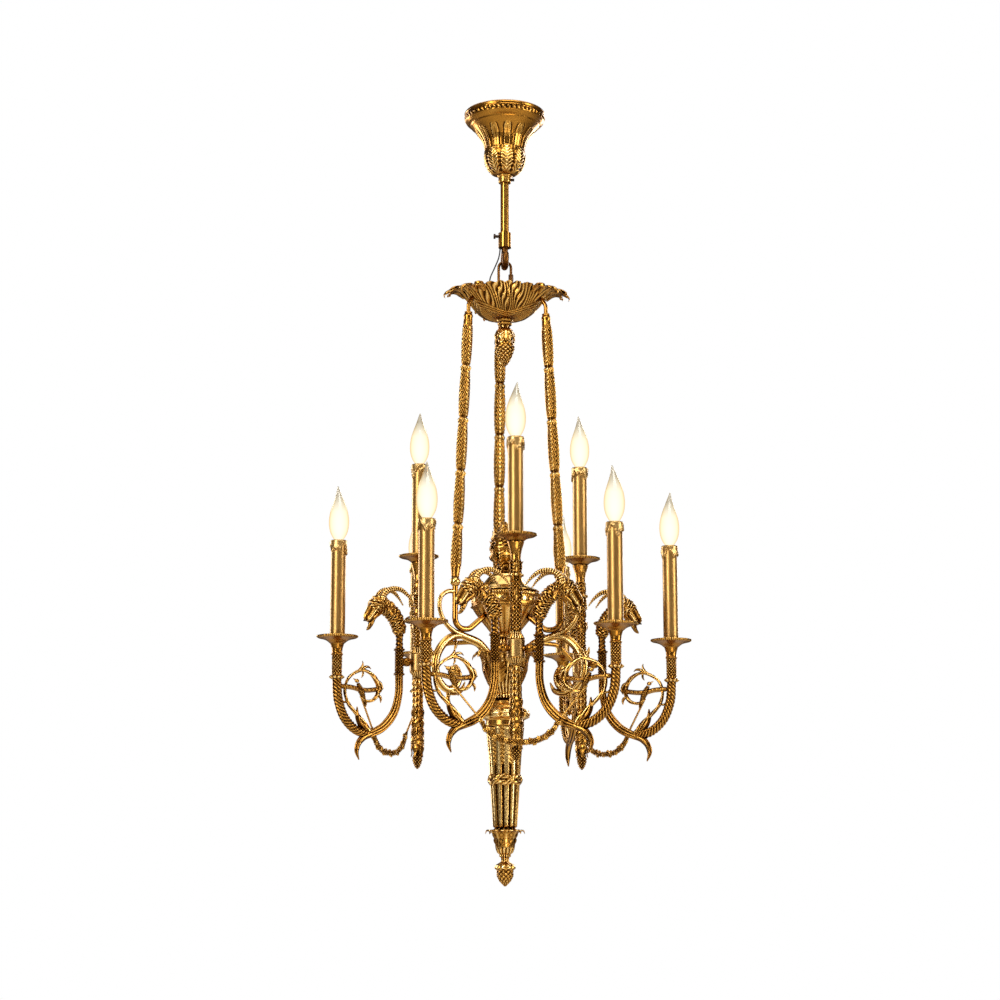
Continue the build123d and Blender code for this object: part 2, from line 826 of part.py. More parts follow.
swag_half = vine_centre[0] * sin(radians(arm_spread))
swag_out = vine_centre[0] * cos(radians(arm_spread))
with BuildPart() as garlands:
    for name, turn in GROUPS.items():
        origin = stem_spots[name] + heading(turn) * swag_out + Vector(0, 0, drum_level)
        plane = Plane(origin=origin, x_dir=heading(turn + 90), z_dir=heading(turn))
        swag_points = [
            (-swag_half, vine_centre[1]),
            (-swag_half * 0.62, -116),
            (-swag_half * 0.3, -152),
            (swag_half * 0.3, -152),
            (swag_half * 0.62, -116),
            (swag_half, vine_centre[1]),
        ]
        bent_rod(plane, swag_points, chain_radius, [60, 30, 30, 60])
        bent_rod(plane, swag_points[1:5], garland_radius, [30, 30])
save(garlands, "garlands")

with BuildPart() as candle_cup:
    turned(
        (0, rope_arm_top + drum_level - low_pan),
        (rope_arm_radius, rope_arm_top + drum_level - low_pan),
        (collar_ring_radius, rope_arm_top + drum_level - low_pan + 1),
        (collar_ring_radius, rope_arm_top + drum_level - low_pan + 5),
        (neck_sleeve_radius + 2, rope_arm_top + drum_level - low_pan + 8),
        (neck_sleeve_radius + 2, -pan_seat - trumpet_height / 2),
        (candle_radius + 1, -pan_seat),
        (0, -pan_seat),
    )

with BuildPart() as candle_cups:
    with Locations(*[spot for name, spot in lamp_spots.items() if "high" not in name]):
        add(candle_cup.part)
save(candle_cups, "candle_cups")

with BuildPart() as drip_pan:
    turned(
        (0, -pan_seat),
        (candle_radius + 1, -pan_seat),
        (candle_radius + 3, -pan_thickness - 2),
        (pan_radius, pan_depth - pan_thickness),
        (pan_radius, pan_depth),
        (pan_radius - 6, pan_depth - 2),
        (candle_radius + 2, 0),
        (0, 0),
    )

with BuildPart() as drip_pans:
    with Locations(*lamp_spots.values()):
        add(drip_pan.part)
save(drip_pans, "drip_pans")

with BuildPart() as candle_tube:
    turned(
        (candle_radius - candle_wall, 0),
        (candle_radius, 0),
        (candle_radius, candle_length - drip_ring_height),
        (drip_ring_radius, candle_length - drip_ring_height + 2),
        (drip_ring_radius, candle_length),
        (candle_radius - candle_wall, candle_length),
    )

with BuildPart() as candle_tubes:
    with Locations(*lamp_spots.values()):
        add(candle_tube.part)
save(candle_tubes, "candle_tubes")

holder_foot = candle_length - 1 - holder_length
socket_floor = candle_length - 1 - bulb_cap_length - free_gap
with BuildPart() as lamp_holder:
    turned(
        (0, 0),
        (holder_radius / 2, 0),
        (holder_radius / 2, holder_foot),
        (holder_radius, holder_foot),
        (holder_radius, candle_length - 1),
        (bulb_cap_radius + running_gap, candle_length - 1),
        (bulb_cap_radius + running_gap, socket_floor),
        (0, socket_floor),
    )

with BuildPart() as lamp_holders:
    with Locations(*lamp_spots.values()):
        add(lamp_holder.part)
save(lamp_holders, "lamp_holders")

with BuildPart() as bulb:
    turned(
        (0, candle_length - 1 - bulb_cap_length),
        (bulb_cap_radius, candle_length - 1 - bulb_cap_length),
        (bulb_cap_radius, candle_length),
        (bulb_radius * 0.86, candle_length + bulb_length * 0.15),
        (bulb_radius, candle_length + bulb_length * 0.32),
        (bulb_radius * 0.8, candle_length + bulb_length * 0.55),
        (bulb_radius * 0.35, candle_length + bulb_length * 0.8),
        (0, candle_length + bulb_length),
    )

for name, spot in lamp_spots.items():
    with BuildPart() as placed_bulb:
        with Locations(spot):
            add(bulb.part)
    save(placed_bulb, f"bulb_{name}")
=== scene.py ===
# %% [markdown]
# # A nine-light brass chandelier
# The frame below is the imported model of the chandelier: its bodies, its joints and the true
# place of each piece. Everything that follows is built round it, so no piece needs fitting.

# %% Load the frame
import bpy
import numpy as np
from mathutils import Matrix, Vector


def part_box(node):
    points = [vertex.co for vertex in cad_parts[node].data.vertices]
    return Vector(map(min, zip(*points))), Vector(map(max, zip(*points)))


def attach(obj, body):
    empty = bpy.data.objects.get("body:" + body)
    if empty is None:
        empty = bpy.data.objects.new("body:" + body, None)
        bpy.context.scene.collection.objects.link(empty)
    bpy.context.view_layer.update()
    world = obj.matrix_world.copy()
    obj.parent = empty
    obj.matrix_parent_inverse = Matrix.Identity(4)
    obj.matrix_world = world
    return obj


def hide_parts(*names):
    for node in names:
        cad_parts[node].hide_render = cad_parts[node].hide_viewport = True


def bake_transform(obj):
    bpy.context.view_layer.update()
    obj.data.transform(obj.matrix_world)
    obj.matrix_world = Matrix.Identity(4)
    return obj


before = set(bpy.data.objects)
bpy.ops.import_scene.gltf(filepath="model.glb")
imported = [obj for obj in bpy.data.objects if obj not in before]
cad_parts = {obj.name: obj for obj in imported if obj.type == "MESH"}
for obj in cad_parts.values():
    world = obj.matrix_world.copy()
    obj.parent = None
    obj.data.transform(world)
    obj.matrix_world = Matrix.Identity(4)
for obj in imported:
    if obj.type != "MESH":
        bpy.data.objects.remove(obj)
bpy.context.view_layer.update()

MM = 0.001
FRAME_BODY = "light_frame"
# Turns about the upright axis, in degrees: the groups of lights, a group's two arms, the rods.
GROUPS = {"front": 0.0, "right": 120.0, "left": 240.0}
SIDES = {"left": -63.0, "right": 63.0}
ROD_TURNS = (60.0, 180.0, 300.0)


def low(node):
    """Lowest corner of a node, in millimetres."""
    return np.array(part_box(node)[0]) / MM


def high(node):
    """Highest corner of a node, in millimetres."""
    return np.array(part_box(node)[1]) / MM


def middle(node):
    """Middle of a node's box, in millimetres."""
    return (low(node) + high(node)) / 2


rim_level = high("urn_body")[2]
drum_level = middle("drums")[2]
ball_level = middle("ball_nuts")[2]
print("heights in mm: urn rim", rim_level, "drums", drum_level, "ball nuts", ball_level)

# %% [markdown]
# ## The nets that every piece is made of
# A cast piece is a surface: a grid of points, each one worked out from two parameters. The
# helpers keep three things for each surface: its points, its faces and a tone from 0 in a
# recess to 1 on a raised edge, which the brass reads to know where its patina stays.

# %% Surfaces as nets
def surface(points, closed=True, caps=True, tone=0.6):
    """Net over a grid of points (rows, columns, 3). Closed joins the last column to the first.
    Faces look outwards when the columns run anticlockwise about the direction of the rows."""
    rows, columns = points.shape[:2]
    index = np.arange(rows * columns).reshape(rows, columns)
    here = index if closed else index[:, :-1]
    beside = np.roll(index, -1, axis=1) if closed else index[:, 1:]
    quads = np.stack([here[:-1], beside[:-1], beside[1:], here[1:]], axis=-1).reshape(-1, 4)
    verts = points.reshape(-1, 3)
    tones = np.broadcast_to(tone, (rows, columns)).reshape(-1)
    tris = np.zeros((0, 3), int)
    if caps:
        hubs = np.array([points[0].mean(axis=0), points[-1].mean(axis=0)])
        first = np.stack([np.full(columns, len(verts)), beside[0], here[0]], axis=-1)
        last = np.stack([np.full(columns, len(verts) + 1), here[-1], beside[-1]], axis=-1)
        tris = np.concatenate([first, last])
        tones = np.concatenate([tones, [tones[:columns].mean(), tones[-columns:].mean()]])
        verts = np.concatenate([verts, hubs])
    return {"verts": verts, "quads": quads, "tris": tris, "tones": tones.astype(float)}


def joined(parts):
    """Several nets as one, with their faces renumbered."""
    starts = np.cumsum([0] + [len(part["verts"]) for part in parts[:-1]])
    return {
        "verts": np.concatenate([part["verts"] for part in parts]),
        "quads": np.concatenate([part["quads"] + start for part, start in zip(parts, starts)]),
        "tris": np.concatenate([part["tris"] + start for part, start in zip(parts, starts)]),
        "tones": np.concatenate([part["tones"] for part in parts]),
    }


def placed(part, turn=0.0, at=(0, 0, 0)):
    """A copy turned about the upright axis, in degrees, and then moved."""
    angle = np.radians(turn)
    spin = np.array([[np.cos(angle), -np.sin(angle), 0], [np.sin(angle), np.cos(angle), 0], [0, 0, 1]])
    return {**part, "verts": part["verts"] @ spin.T + np.array(at)}


def ringed(part, turns):
    """Copies of a net at several turns about the chandelier's axis."""
    return joined([placed(part, turn) for turn in turns])


def build(name, part, material, body=FRAME_BODY, stands_for=()):
    """Turns a net in millimetres into a smooth mesh that rides on a body."""
    mesh = bpy.data.meshes.new(name)
    quads, tris = part["quads"], part["tris"]
    corners = np.concatenate([quads.reshape(-1), tris.reshape(-1)]).astype(np.int32)
    sizes = np.concatenate([np.full(len(quads), 4), np.full(len(tris), 3)])
    starts = np.concatenate([[0], np.cumsum(sizes)[:-1]]).astype(np.int32)
    mesh.vertices.add(len(part["verts"]))
    mesh.vertices.foreach_set("co", (part["verts"] * MM).astype(np.float32).reshape(-1))
    mesh.loops.add(len(corners))
    mesh.loops.foreach_set("vertex_index", corners)
    mesh.polygons.add(len(sizes))
    mesh.polygons.foreach_set("loop_start", starts)
    mesh.update(calc_edges=True)
    tone = mesh.attributes.new("tone", "FLOAT", "POINT")
    tone.data.foreach_set("value", part["tones"].astype(np.float32))
    mesh.validate()
    mesh.shade_smooth()
    mesh.materials.append(material)
    piece = bpy.data.objects.new(name, mesh)
    bpy.context.scene.collection.objects.link(piece)
    if body:
        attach(piece, body)
    if stands_for:
        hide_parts(*stands_for)
    print(name, "triangles", 2 * len(quads) + len(tris))
    return piece


# %% [markdown]
# ## Turned parts and bars
# Most of the lamp is one of two things: a round part, which is a profile turned about an axis,
# or a bar, which is a ring of points carried along a path. Modifiers could do both, but a grid
# that is worked out here can be chased: a relief, a height from 0 to 1 at each point, raises it.

# %% Curves and profiles
def through(points, count):
    """Smooth line through a few points: cubic pieces whose slopes follow the neighbours."""
    points = np.array(points, float)
    steps = np.linalg.norm(np.diff(points, axis=0), axis=1)
    length = np.concatenate([[0], np.cumsum(steps)])
    slope = np.gradient(points, length, axis=0)
    where = np.linspace(0, length[-1], count)
    left = np.clip(np.searchsorted(length, where, side="right") - 1, 0, len(points) - 2)
    span = (length[left + 1] - length[left])[:, None]
    t = (where - length[left])[:, None] / span
    return (
        (2 * t**3 - 3 * t**2 + 1) * points[left]
        + (t**3 - 2 * t**2 + t) * span * slope[left]
        + (3 * t**2 - 2 * t**3) * points[left + 1]
        + (t**3 - t**2) * span * slope[left + 1]
    )


def sampled(points, step=1.0):
    """Straight-sided line resampled about every step millimetres, keeping its corners."""
    points = np.array(points, float)
    rows = [points[:1]]
    for start, end in zip(points, points[1:]):
        count = max(2, int(np.linalg.norm(end - start) / step) + 1)
        rows.append(start + (end - start) * np.linspace(0, 1, count)[1:, None])
    return np.concatenate(rows)


def turned(profile, around=96, relief=None, depth=1.0, tone=0.7):
    """Surface of revolution. The profile is (radius, height), listed so that the outside goes up.
    relief(t, angle) from 0 to 1 raises the surface by up to depth along the radius, where t runs
    from 0 to 1 along the profile."""
    profile = np.array(profile, float)
    angle = np.linspace(0, 2 * np.pi, around, endpoint=False)[None, :]
    t = np.linspace(0, 1, len(profile))[:, None]
    radius = np.broadcast_to(profile[:, :1], (len(profile), around))
    tones = np.full(radius.shape, tone)
    if relief is not None:
        raised = relief(t, angle) * np.ones_like(radius)
        radius = np.maximum(radius + depth * (raised - 0.5), 0.01)
        tones = raised
    height = np.broadcast_to(profile[:, 1:2], radius.shape)
    points = np.stack([radius * np.cos(angle), radius * np.sin(angle), height], axis=-1)
    return surface(points, tone=tones)


def swept(path, radius, around=24, side=(0, 1, 0), relief=None, depth=0.5, tone=0.7, flat=1.0):
    """Bar along a level-sided path: a ring of points round each path point, square to it. side is
    the direction that the whole path is square to. relief(s, angle) is as for turned, with s in
    millimetres along the path, and flat squashes the section along side."""
    path = np.array(path, float)
    side = np.array(side, float)
    forward = np.gradient(path, axis=0)
    forward /= np.linalg.norm(forward, axis=1)[:, None]
    other = np.cross(forward, side)
    angle = np.linspace(0, 2 * np.pi, around, endpoint=False)[None, :]
    steps = np.linalg.norm(np.diff(path, axis=0), axis=1)
    s = np.concatenate([[0], np.cumsum(steps)])[:, None]
    rings = np.ones((len(path), around)) * np.reshape(radius, (-1, 1))
    tones = np.full(rings.shape, tone)
    if relief is not None:
        raised = relief(s, angle) * np.ones_like(rings)
        rings = rings + depth * (raised - 0.5)
        tones = raised
    x = (rings * np.cos(angle) * flat)[:, :, None] * side
    y = (rings * np.sin(angle))[:, :, None] * other[:, None, :]
    return surface(path[:, None, :] + x + y, tone=tones)


def ball(centre, size, around=16, rows=10, tone=0.8):
    """Egg with three half-sizes, as rings of latitude."""
    tilt = np.linspace(-np.pi / 2 + 0.05, np.pi / 2 - 0.05, rows)[:, None]
    angle = np.linspace(0, 2 * np.pi, around, endpoint=False)[None, :]
    x = np.cos(tilt) * np.cos(angle)
    y = np.cos(tilt) * np.sin(angle)
    z = np.sin(tilt) * np.ones_like(angle)
    return surface(np.stack([x, y, z], axis=-1) * np.array(size) + np.array(centre), tone=tone)


def ridges(wave):
    """Rounded ridges with sharp valleys between them, from 0 to 1."""
    return np.abs(np.cos(wave))


def band(height, start, end, soft=2.0):
    """1 between two heights, 0 outside them, with soft ends."""
    return np.clip((height - start) / soft, 0, 1) * np.clip((end - height) / soft, 0, 1)


def above(level, points):
    """(reach, height) pairs whose heights are given from a level."""
    return [(reach, level + height) for reach, height in points]


# %% [markdown]
# ## Leaves
# Acanthus leaves crown, hold and tip nearly every part of the lamp. A leaf is a flattened tube:
# its spine is a curve, its half-width swells and is nicked into lobes, and grooves run from
# the midrib to each lobe. Bending the spine curls the tip, as the founder's wax model is bent.

# %% One leaf
def leaf(spine, width, lobes=5, thick=2.0, cup=0.004, rows=56, across=36, side=(0, 1, 0), nick=0.35):
    """Closed leaf. Half-width = width * swell(t) * lobe(t); height over the spine's plane falls
    with the square of the distance from the midrib, and grooves slant out to the lobes."""
    spine = through(spine, rows)
    side = np.array(side, float)
    t = np.linspace(0, 1, rows)[:, None]
    forward = np.gradient(spine, axis=0)
    forward /= np.linalg.norm(forward, axis=1)[:, None]
    up = np.cross(side, forward)
    angle = np.linspace(0, 2 * np.pi, across, endpoint=False)[None, :]
    v = np.cos(angle)
    swell = np.sin(np.pi * np.clip(t, 0, 1) ** 0.8) ** 0.7 * (1 - 0.25 * t) + 0.12 * (1 - t)
    slant = t * lobes - 0.55 * np.abs(v)
    lobe = 1 - nick * (1 - np.abs(np.sin(np.pi * slant))) ** 1.5 * np.abs(v) ** 2
    half = width * swell * lobe
    veins = ridges(np.pi * (t * lobes * 2 - 1.3 * np.abs(v)))
    midrib = np.exp(-((v / 0.16) ** 2))
    raised = np.clip(0.25 + 0.5 * veins * np.abs(v) ** 0.5 + 0.8 * midrib, 0, 1) * np.ones_like(t)
    face = np.where(np.sin(angle) >= 0, 1.0, -1.0)
    body = thick * np.sqrt(1 - v**2 + 0.02) * (0.55 + 0.75 * raised) * np.minimum(1, 6 * (1.02 - t))
    fall = -cup * half**2 * v**2
    points = (
        spine[:, None, :]
        + (half * v)[:, :, None] * side
        + (fall + face * body / 2)[:, :, None] * up[:, None, :]
    )
    return surface(points[:, ::-1], tone=raised[:, ::-1])


# %% [markdown]
# ## Finishes
# The castings are polished brass over a brown patina that the polishing leaves in every recess.
# The tone of the net says how deep a point lies and sets the patina; ambient occlusion darkens
# crevices and gaps between parts further as painted shade, so the colour goes from near-black
# brown through bronze to pale gold. Metals keep the default IOR.

# %% Colours and nodes
def linear(hex_colour):
    """sRGB hex to the linear colour that a shader wants."""
    channels = np.array([int(hex_colour[i : i + 2], 16) for i in (1, 3, 5)]) / 255
    channels = np.where(channels <= 0.04045, channels / 12.92, ((channels + 0.055) / 1.055) ** 2.4)
    return (*channels.tolist(), 1.0)


def node(tree, kind, links=(), **settings):
    """Adds a node, sets its inputs and properties, and links (input name, socket) pairs."""
    made = tree.nodes.new(kind)
    for name, value in settings.items():
        if name in made.inputs.keys():
            made.inputs[name].default_value = value
        else:
            setattr(made, name, value)
    for name, socket in links:
        tree.links.new(socket, made.inputs[name])
    return made


def new_material(name):
    """An empty node material with its output node."""
    material = bpy.data.materials.new(name)
    material.use_nodes = True
    material.node_tree.nodes.clear()
    return material, material.node_tree, node(material.node_tree, "ShaderNodeOutputMaterial")


def ramp(tree, socket, stops):
    """Colour ramp through (position, hex colour) stops."""
    made = node(tree, "ShaderNodeValToRGB", [("Fac", socket)])
    elements = made.color_ramp.elements
    while len(elements) < len(stops):
        elements.new(0.5)
    for element, (position, colour) in zip(elements, stops):
        element.position = position
        element.color = linear(colour)
    return made.outputs["Color"]


MOTTLE = 0.16


def brass(name, stops, rough, tone_weight=1.0, grain_mm=0.7, bump=0.15, streak=(1, 1, 1)):
    """Cast or drawn brass. Colour follows the tone of the net, its patina, times ambient occlusion, which is painted
    shade in crevices and between parts.
    """
    material, tree, output = new_material(name)
    place = node(tree, "ShaderNodeTexCoord").outputs["Object"]
    scaled = node(tree, "ShaderNodeMapping", [("Vector", place)], Scale=streak).outputs["Vector"]
    cloud = node(tree, "ShaderNodeTexNoise", [("Vector", scaled)], Scale=35.0, Detail=3.0)
    grain = node(tree, "ShaderNodeTexNoise", [("Vector", scaled)], Scale=1000.0 / grain_mm / 2, Detail=2.0)
    # Ambient occlusion darkens the colour in crevices and between parts: painted shade on top of the patina.
    painted_shade_ao = node(tree, "ShaderNodeAmbientOcclusion", samples=6, Distance=0.014)
    tone = node(tree, "ShaderNodeAttribute", attribute_name="tone").outputs["Fac"]
    weighted = node(tree, "ShaderNodeMath", [(0, tone)], operation="MULTIPLY_ADD")
    weighted.inputs[1].default_value = tone_weight
    weighted.inputs[2].default_value = 1 - tone_weight
    patina_times_painted_shade = node(tree, "ShaderNodeMath", [(0, weighted.outputs[0]), (1, painted_shade_ao.outputs["AO"])], operation="MULTIPLY")
    mottled = node(
        tree, "ShaderNodeMath", [(0, cloud.outputs["Fac"]), (2, patina_times_painted_shade.outputs[0])], operation="MULTIPLY_ADD"
    )
    mottled.inputs[1].default_value = MOTTLE
    shifted = node(tree, "ShaderNodeMath", [(0, mottled.outputs[0])], operation="SUBTRACT")
    shifted.inputs[1].default_value = MOTTLE / 2
    colour = ramp(tree, shifted.outputs[0], stops)
    roughness = node(tree, "ShaderNodeMapRange", [("Value", grain.outputs["Fac"])])
    roughness.inputs["From Min"].default_value = 0.3
    roughness.inputs["From Max"].default_value = 0.7
    roughness.inputs["To Min"].default_value = rough[0]
    roughness.inputs["To Max"].default_value = rough[1]
    relief = node(tree, "ShaderNodeBump", [("Height", grain.outputs["Fac"])], Strength=bump, Distance=0.0003)
    shader = node(
        tree,
        "ShaderNodeBsdfPrincipled",
        [("Base Color", colour), ("Roughness", roughness.outputs["Result"]), ("Normal", relief.outputs["Normal"])],
        Metallic=1.0,
    )
    tree.links.new(shader.outputs["BSDF"], output.inputs["Surface"])
    return material


# The darkest stops carry both the patina in recesses and the painted shade from ambient occlusion.
CAST_STOPS = [(0.0, "#1E0E04"), (0.25, "#57330F"), (0.5, "#A8742B"), (0.8, "#D6A756"), (1.0, "#F0CF8C")]
SMOOTH_STOPS = [(0.0, "#3B1E0A"), (0.3, "#7E5119"), (0.6, "#BD8A3D"), (1.0, "#E0BA70")]
SATIN_STOPS = [(0.0, "#523513"), (0.35, "#825B26"), (0.7, "#A88047"), (1.0, "#C29E64")]
AGED_STOPS = [(0.0, "#1E0F06"), (0.4, "#6A431C"), (0.8, "#B08444"), (1.0, "#CFA563")]
# Cast brass, chased and polished: fine pits of the sand skin stay dull between bright edges.
cast_brass = brass("cast_polished_brass", CAST_STOPS, (0.16, 0.34), grain_mm=0.9, bump=0.25)
# Spun and turned brass, buffed: nearly mirror bright, with faint hairlines round it.
turned_brass = brass(
    "turned_buffed_brass", SMOOTH_STOPS, (0.14, 0.24), 0.5, grain_mm=0.5, bump=0.06, streak=(1, 1, 6)
)
# Drawn brass tube, brushed lengthwise: highlights spread into soft upright bands.
satin_brass = brass(
    "drawn_brushed_brass", SATIN_STOPS, (0.32, 0.44), 0.5, grain_mm=0.4, bump=0.08, streak=(1, 1, 0.03)
)
# Old unpolished brass of the hook and links, brown with handling.
aged_brass = brass("aged_bare_brass", AGED_STOPS, (0.32, 0.5), 0.6, grain_mm=1.2, bump=0.3)


def plain(name, colour, rough, metallic=0.0, grain_mm=0.5, bump=0.1, spread=0.85):
    """Plastic, rubber or plated steel: one colour with a slight uneven skin."""
    material, tree, output = new_material(name)
    place = node(tree, "ShaderNodeTexCoord").outputs["Object"]
    grain = node(tree, "ShaderNodeTexNoise", [("Vector", place)], Scale=1000.0 / grain_mm / 2, Detail=2.0)
    dark = tuple(channel * spread for channel in linear(colour)[:3]) + (1.0,)
    mixed = node(tree, "ShaderNodeMix", [("Factor", grain.outputs["Fac"])], data_type="RGBA")
    mixed.inputs[6].default_value = dark
    mixed.inputs[7].default_value = linear(colour)
    relief = node(tree, "ShaderNodeBump", [("Height", grain.outputs["Fac"])], Strength=bump, Distance=0.0002)
    shader = node(
        tree,
        "ShaderNodeBsdfPrincipled",
        [("Base Color", mixed.outputs[2]), ("Normal", relief.outputs["Normal"])],
        Metallic=metallic,
        Roughness=rough,
    )
    tree.links.new(shader.outputs["BSDF"], output.inputs["Surface"])
    return material


# PVC-sheathed flex: matt black with a faint moulded skin.
black_pvc = plain("black_pvc_flex", "#1A1715", 0.55)
# Moulded nylon of the terminal block, and phenolic of the lamp holders.
white_nylon = plain("white_nylon", "#E8E4D8", 0.4)
ivory_phenolic = plain("ivory_phenolic", "#D9CDAF", 0.45)
# Zinc-plated steel for what the canopy hides, and blackened steel screws.
zinc_steel = plain("zinc_plated_steel", "#B9B7AE", 0.35, metallic=1.0, bump=0.2)
black_steel = plain("blackened_steel_screw", "#3A2F28", 0.4, metallic=1.0)

# %% [markdown]
# ## Camera, cord, light
# The camera stands a little to the left of the front group and looks up by about ten degrees.

# %% Camera
CAMERA_TURN = -6.0
CAMERA_TILT = 10.4
CAMERA_REACH = 3.44
CAMERA_HEIGHT = -1.343
CAMERA_ASIDE = -0.0086
turn = np.radians(CAMERA_TURN)
lens = bpy.data.cameras.new("camera")
lens.lens = 72.0
lens.sensor_width = 36.0
camera = bpy.data.objects.new("camera", lens)
camera.location = (
    CAMERA_REACH * np.sin(turn) + CAMERA_ASIDE * np.cos(turn),
    -CAMERA_REACH * np.cos(turn) + CAMERA_ASIDE * np.sin(turn),
    CAMERA_HEIGHT,
)
camera.rotation_euler = (np.radians(90 + CAMERA_TILT), 0, turn)
bpy.context.scene.collection.objects.link(camera)
bpy.context.scene.camera = camera
print("camera", CAMERA_REACH, "m away, lens", lens.lens, "mm")

# %% [markdown]
# ## The supply cord
# A thin round cord in black PVC runs down from the ceiling fitting to the crown in a slack
# curve. It could be a curve with a bevel, but here it is a swept net with one clean skin.

# %% Supply cord
# Control points of the route, in metres.
CORD_ROUTE = [
    (-0.0086, 0, -0.253),
    (-0.0086, 0, -0.267),
    (-0.018, 0.0015, -0.290),
    (-0.030, -0.0005, -0.317),
    (-0.020, 0, -0.345),
    (-0.020, 0, -0.3602),
]
route = bpy.data.curves.new("flex_route", "CURVE")
route.dimensions = "3D"
route.resolution_u = 16
line = route.splines.new("NURBS")
line.points.add(len(CORD_ROUTE) - 1)
for point, place in zip(line.points, CORD_ROUTE):
    point.co = (*place, 1.0)
line.order_u = 3
line.use_endpoint_u = True
route_object = bpy.data.objects.new("flex_route", route)
route_mesh = bpy.data.meshes.new_from_object(route_object)
flex_line = np.array([vertex.co[:] for vertex in route_mesh.vertices]) / MM
bpy.data.objects.remove(route_object)
flex = swept(flex_line, 1.2, around=16, side=(0, 1, 0))
supply_flex = build("supply_flex", flex, black_pvc, None, ["supply_cord"])
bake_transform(supply_flex)

# %% [markdown]
# ## The room
# The lamp hangs before pale paper, over a floor that is far below it. Soft boxes stand all
# round it, and only the reflections see the dim warm room behind them: brass shows what it
# mirrors, so the size and place of the boxes draw the highlights more than their strength does.

# %% Floor and light
FLOOR_HALF = 6000.0
FLOOR_LEVEL = -2650.0
floor_points = np.array([
    [[-FLOOR_HALF, reach, FLOOR_LEVEL], [FLOOR_HALF, reach, FLOOR_LEVEL]] for reach in (-FLOOR_HALF, FLOOR_HALF)
])
floor_net = surface(floor_points, closed=False, caps=False)
floor_mesh = bpy.data.meshes.new("floor")
floor_mesh.from_pydata((floor_net["verts"] * MM).tolist(), [], floor_net["quads"].tolist())
floor = bpy.data.objects.new("floor", floor_mesh)
floor_mesh.materials.append(plain("pale_plaster_floor", "#E9E6E0", 0.7, grain_mm=8.0, spread=0.97))
bpy.context.scene.collection.objects.link(floor)


def soft_box(name, place, aim, size, power, colour="#FFFFFF"):
    """Area light at place that faces aim."""
    light = bpy.data.lights.new(name, "AREA")
    light.shape = "RECTANGLE"
    light.size, light.size_y = size
    light.energy = power
    light.color = linear(colour)[:3]
    lamp = bpy.data.objects.new(name, light)
    lamp.location = place
    direction = np.array(aim, float) - np.array(place, float)
    level = np.hypot(direction[0], direction[1])
    lamp.rotation_euler = (np.arctan2(level, -direction[2]), 0, np.arctan2(-direction[0], direction[1]))
    bpy.context.scene.collection.objects.link(lamp)
    return lamp


heart = (0, 0, -0.85)
soft_box("key_left", (-2.4, -2.6, 0.2), heart, (1.0, 2.2), 86)
soft_box("key_right", (2.9, -1.6, -0.4), heart, (0.8, 2.4), 60)
soft_box("top_front", (0.3, -2.2, 1.6), heart, (2.2, 0.9), 52)
soft_box("overhead", (0.0, 0.3, 1.5), heart, (2.4, 2.4), 40)
soft_box("low_front", (0.6, -3.0, -2.2), heart, (1.8, 0.5), 18, "#FFF2DC")
soft_box("back_left", (-2.2, 2.4, -0.3), heart, (0.8, 2.0), 50)
soft_box("back_right", (2.0, 2.8, 0.3), heart, (0.8, 2.0), 50)

world = bpy.data.worlds.new("studio")
bpy.context.scene.world = world
world.use_nodes = True
sky_tree = world.node_tree
sky_tree.nodes.clear()
# Reflections see a dim warm room with darker and lighter walls; the eye sees pale paper.
bearing = node(sky_tree, "ShaderNodeTexCoord").outputs["Generated"]
walls = node(sky_tree, "ShaderNodeTexNoise", [("Vector", bearing)], Scale=2.6, Detail=1.0)
wall_colour = ramp(sky_tree, walls.outputs["Fac"], [(0.38, "#120C08"), (0.5, "#5C4A38"), (0.62, "#D9C6A6")])
room = node(sky_tree, "ShaderNodeBackground", [("Color", wall_colour)], Strength=0.6)
paper = node(sky_tree, "ShaderNodeBackground", Color=linear("#FFFFFF"), Strength=1.0)
seen = node(sky_tree, "ShaderNodeLightPath").outputs["Is Camera Ray"]
mixed_sky = node(sky_tree, "ShaderNodeMixShader", [("Fac", seen)])
sky_tree.links.new(room.outputs[0], mixed_sky.inputs[1])
sky_tree.links.new(paper.outputs[0], mixed_sky.inputs[2])
sky_output = node(sky_tree, "ShaderNodeOutputWorld")
sky_tree.links.new(mixed_sky.outputs[0], sky_output.inputs["Surface"])
bpy.context.scene.view_settings.view_transform = "Standard"
print(len(bpy.data.lights), "soft lights over a pale floor")

# %% [markdown]
# ## What is already right
# Plain turned and bent parts come straight from the model and only need their finish.

# %% Finishes of the carried nodes
CARRIED = {
    aged_brass: ("hook", "link", "link_nut", "crown_eye"),
    black_steel: ("canopy_set_screw", "hook_thumb_screw"),
    zinc_steel: ("ceiling_bracket", "rod_locknut", "tie_rod"),
    white_nylon: ("terminal_block",),
    ivory_phenolic: ("lamp_holders",),
    satin_brass: ("candle_tubes", "drums"),
}
finish_of = {name: material for material, names in CARRIED.items() for name in names}
for name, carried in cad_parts.items():
    material = finish_of.get(name, turned_brass)
    if not carried.data.materials:
        carried.data.materials.append(material)
    for place in carried.material_slots:
        place.material = material
print(len(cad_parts), "carried nodes finished")


# %% [markdown]
# ## Bars that change along their length
# Branches, horns and necks swell and thin. Their radius is given at a few shares of the length
# and read off between them, much as a wax pattern is rolled thinner by hand towards its end.

# %% More curves
def evenly(line, step):
    """A line resampled at equal steps along its length."""
    line = np.array(line, float)
    length = np.concatenate([[0], np.cumsum(np.linalg.norm(np.diff(line, axis=0), axis=1))])
    where = np.linspace(0, length[-1], max(3, int(length[-1] / step)))
    return np.stack([np.interp(where, length, line[:, axis]) for axis in range(line.shape[1])], axis=1)


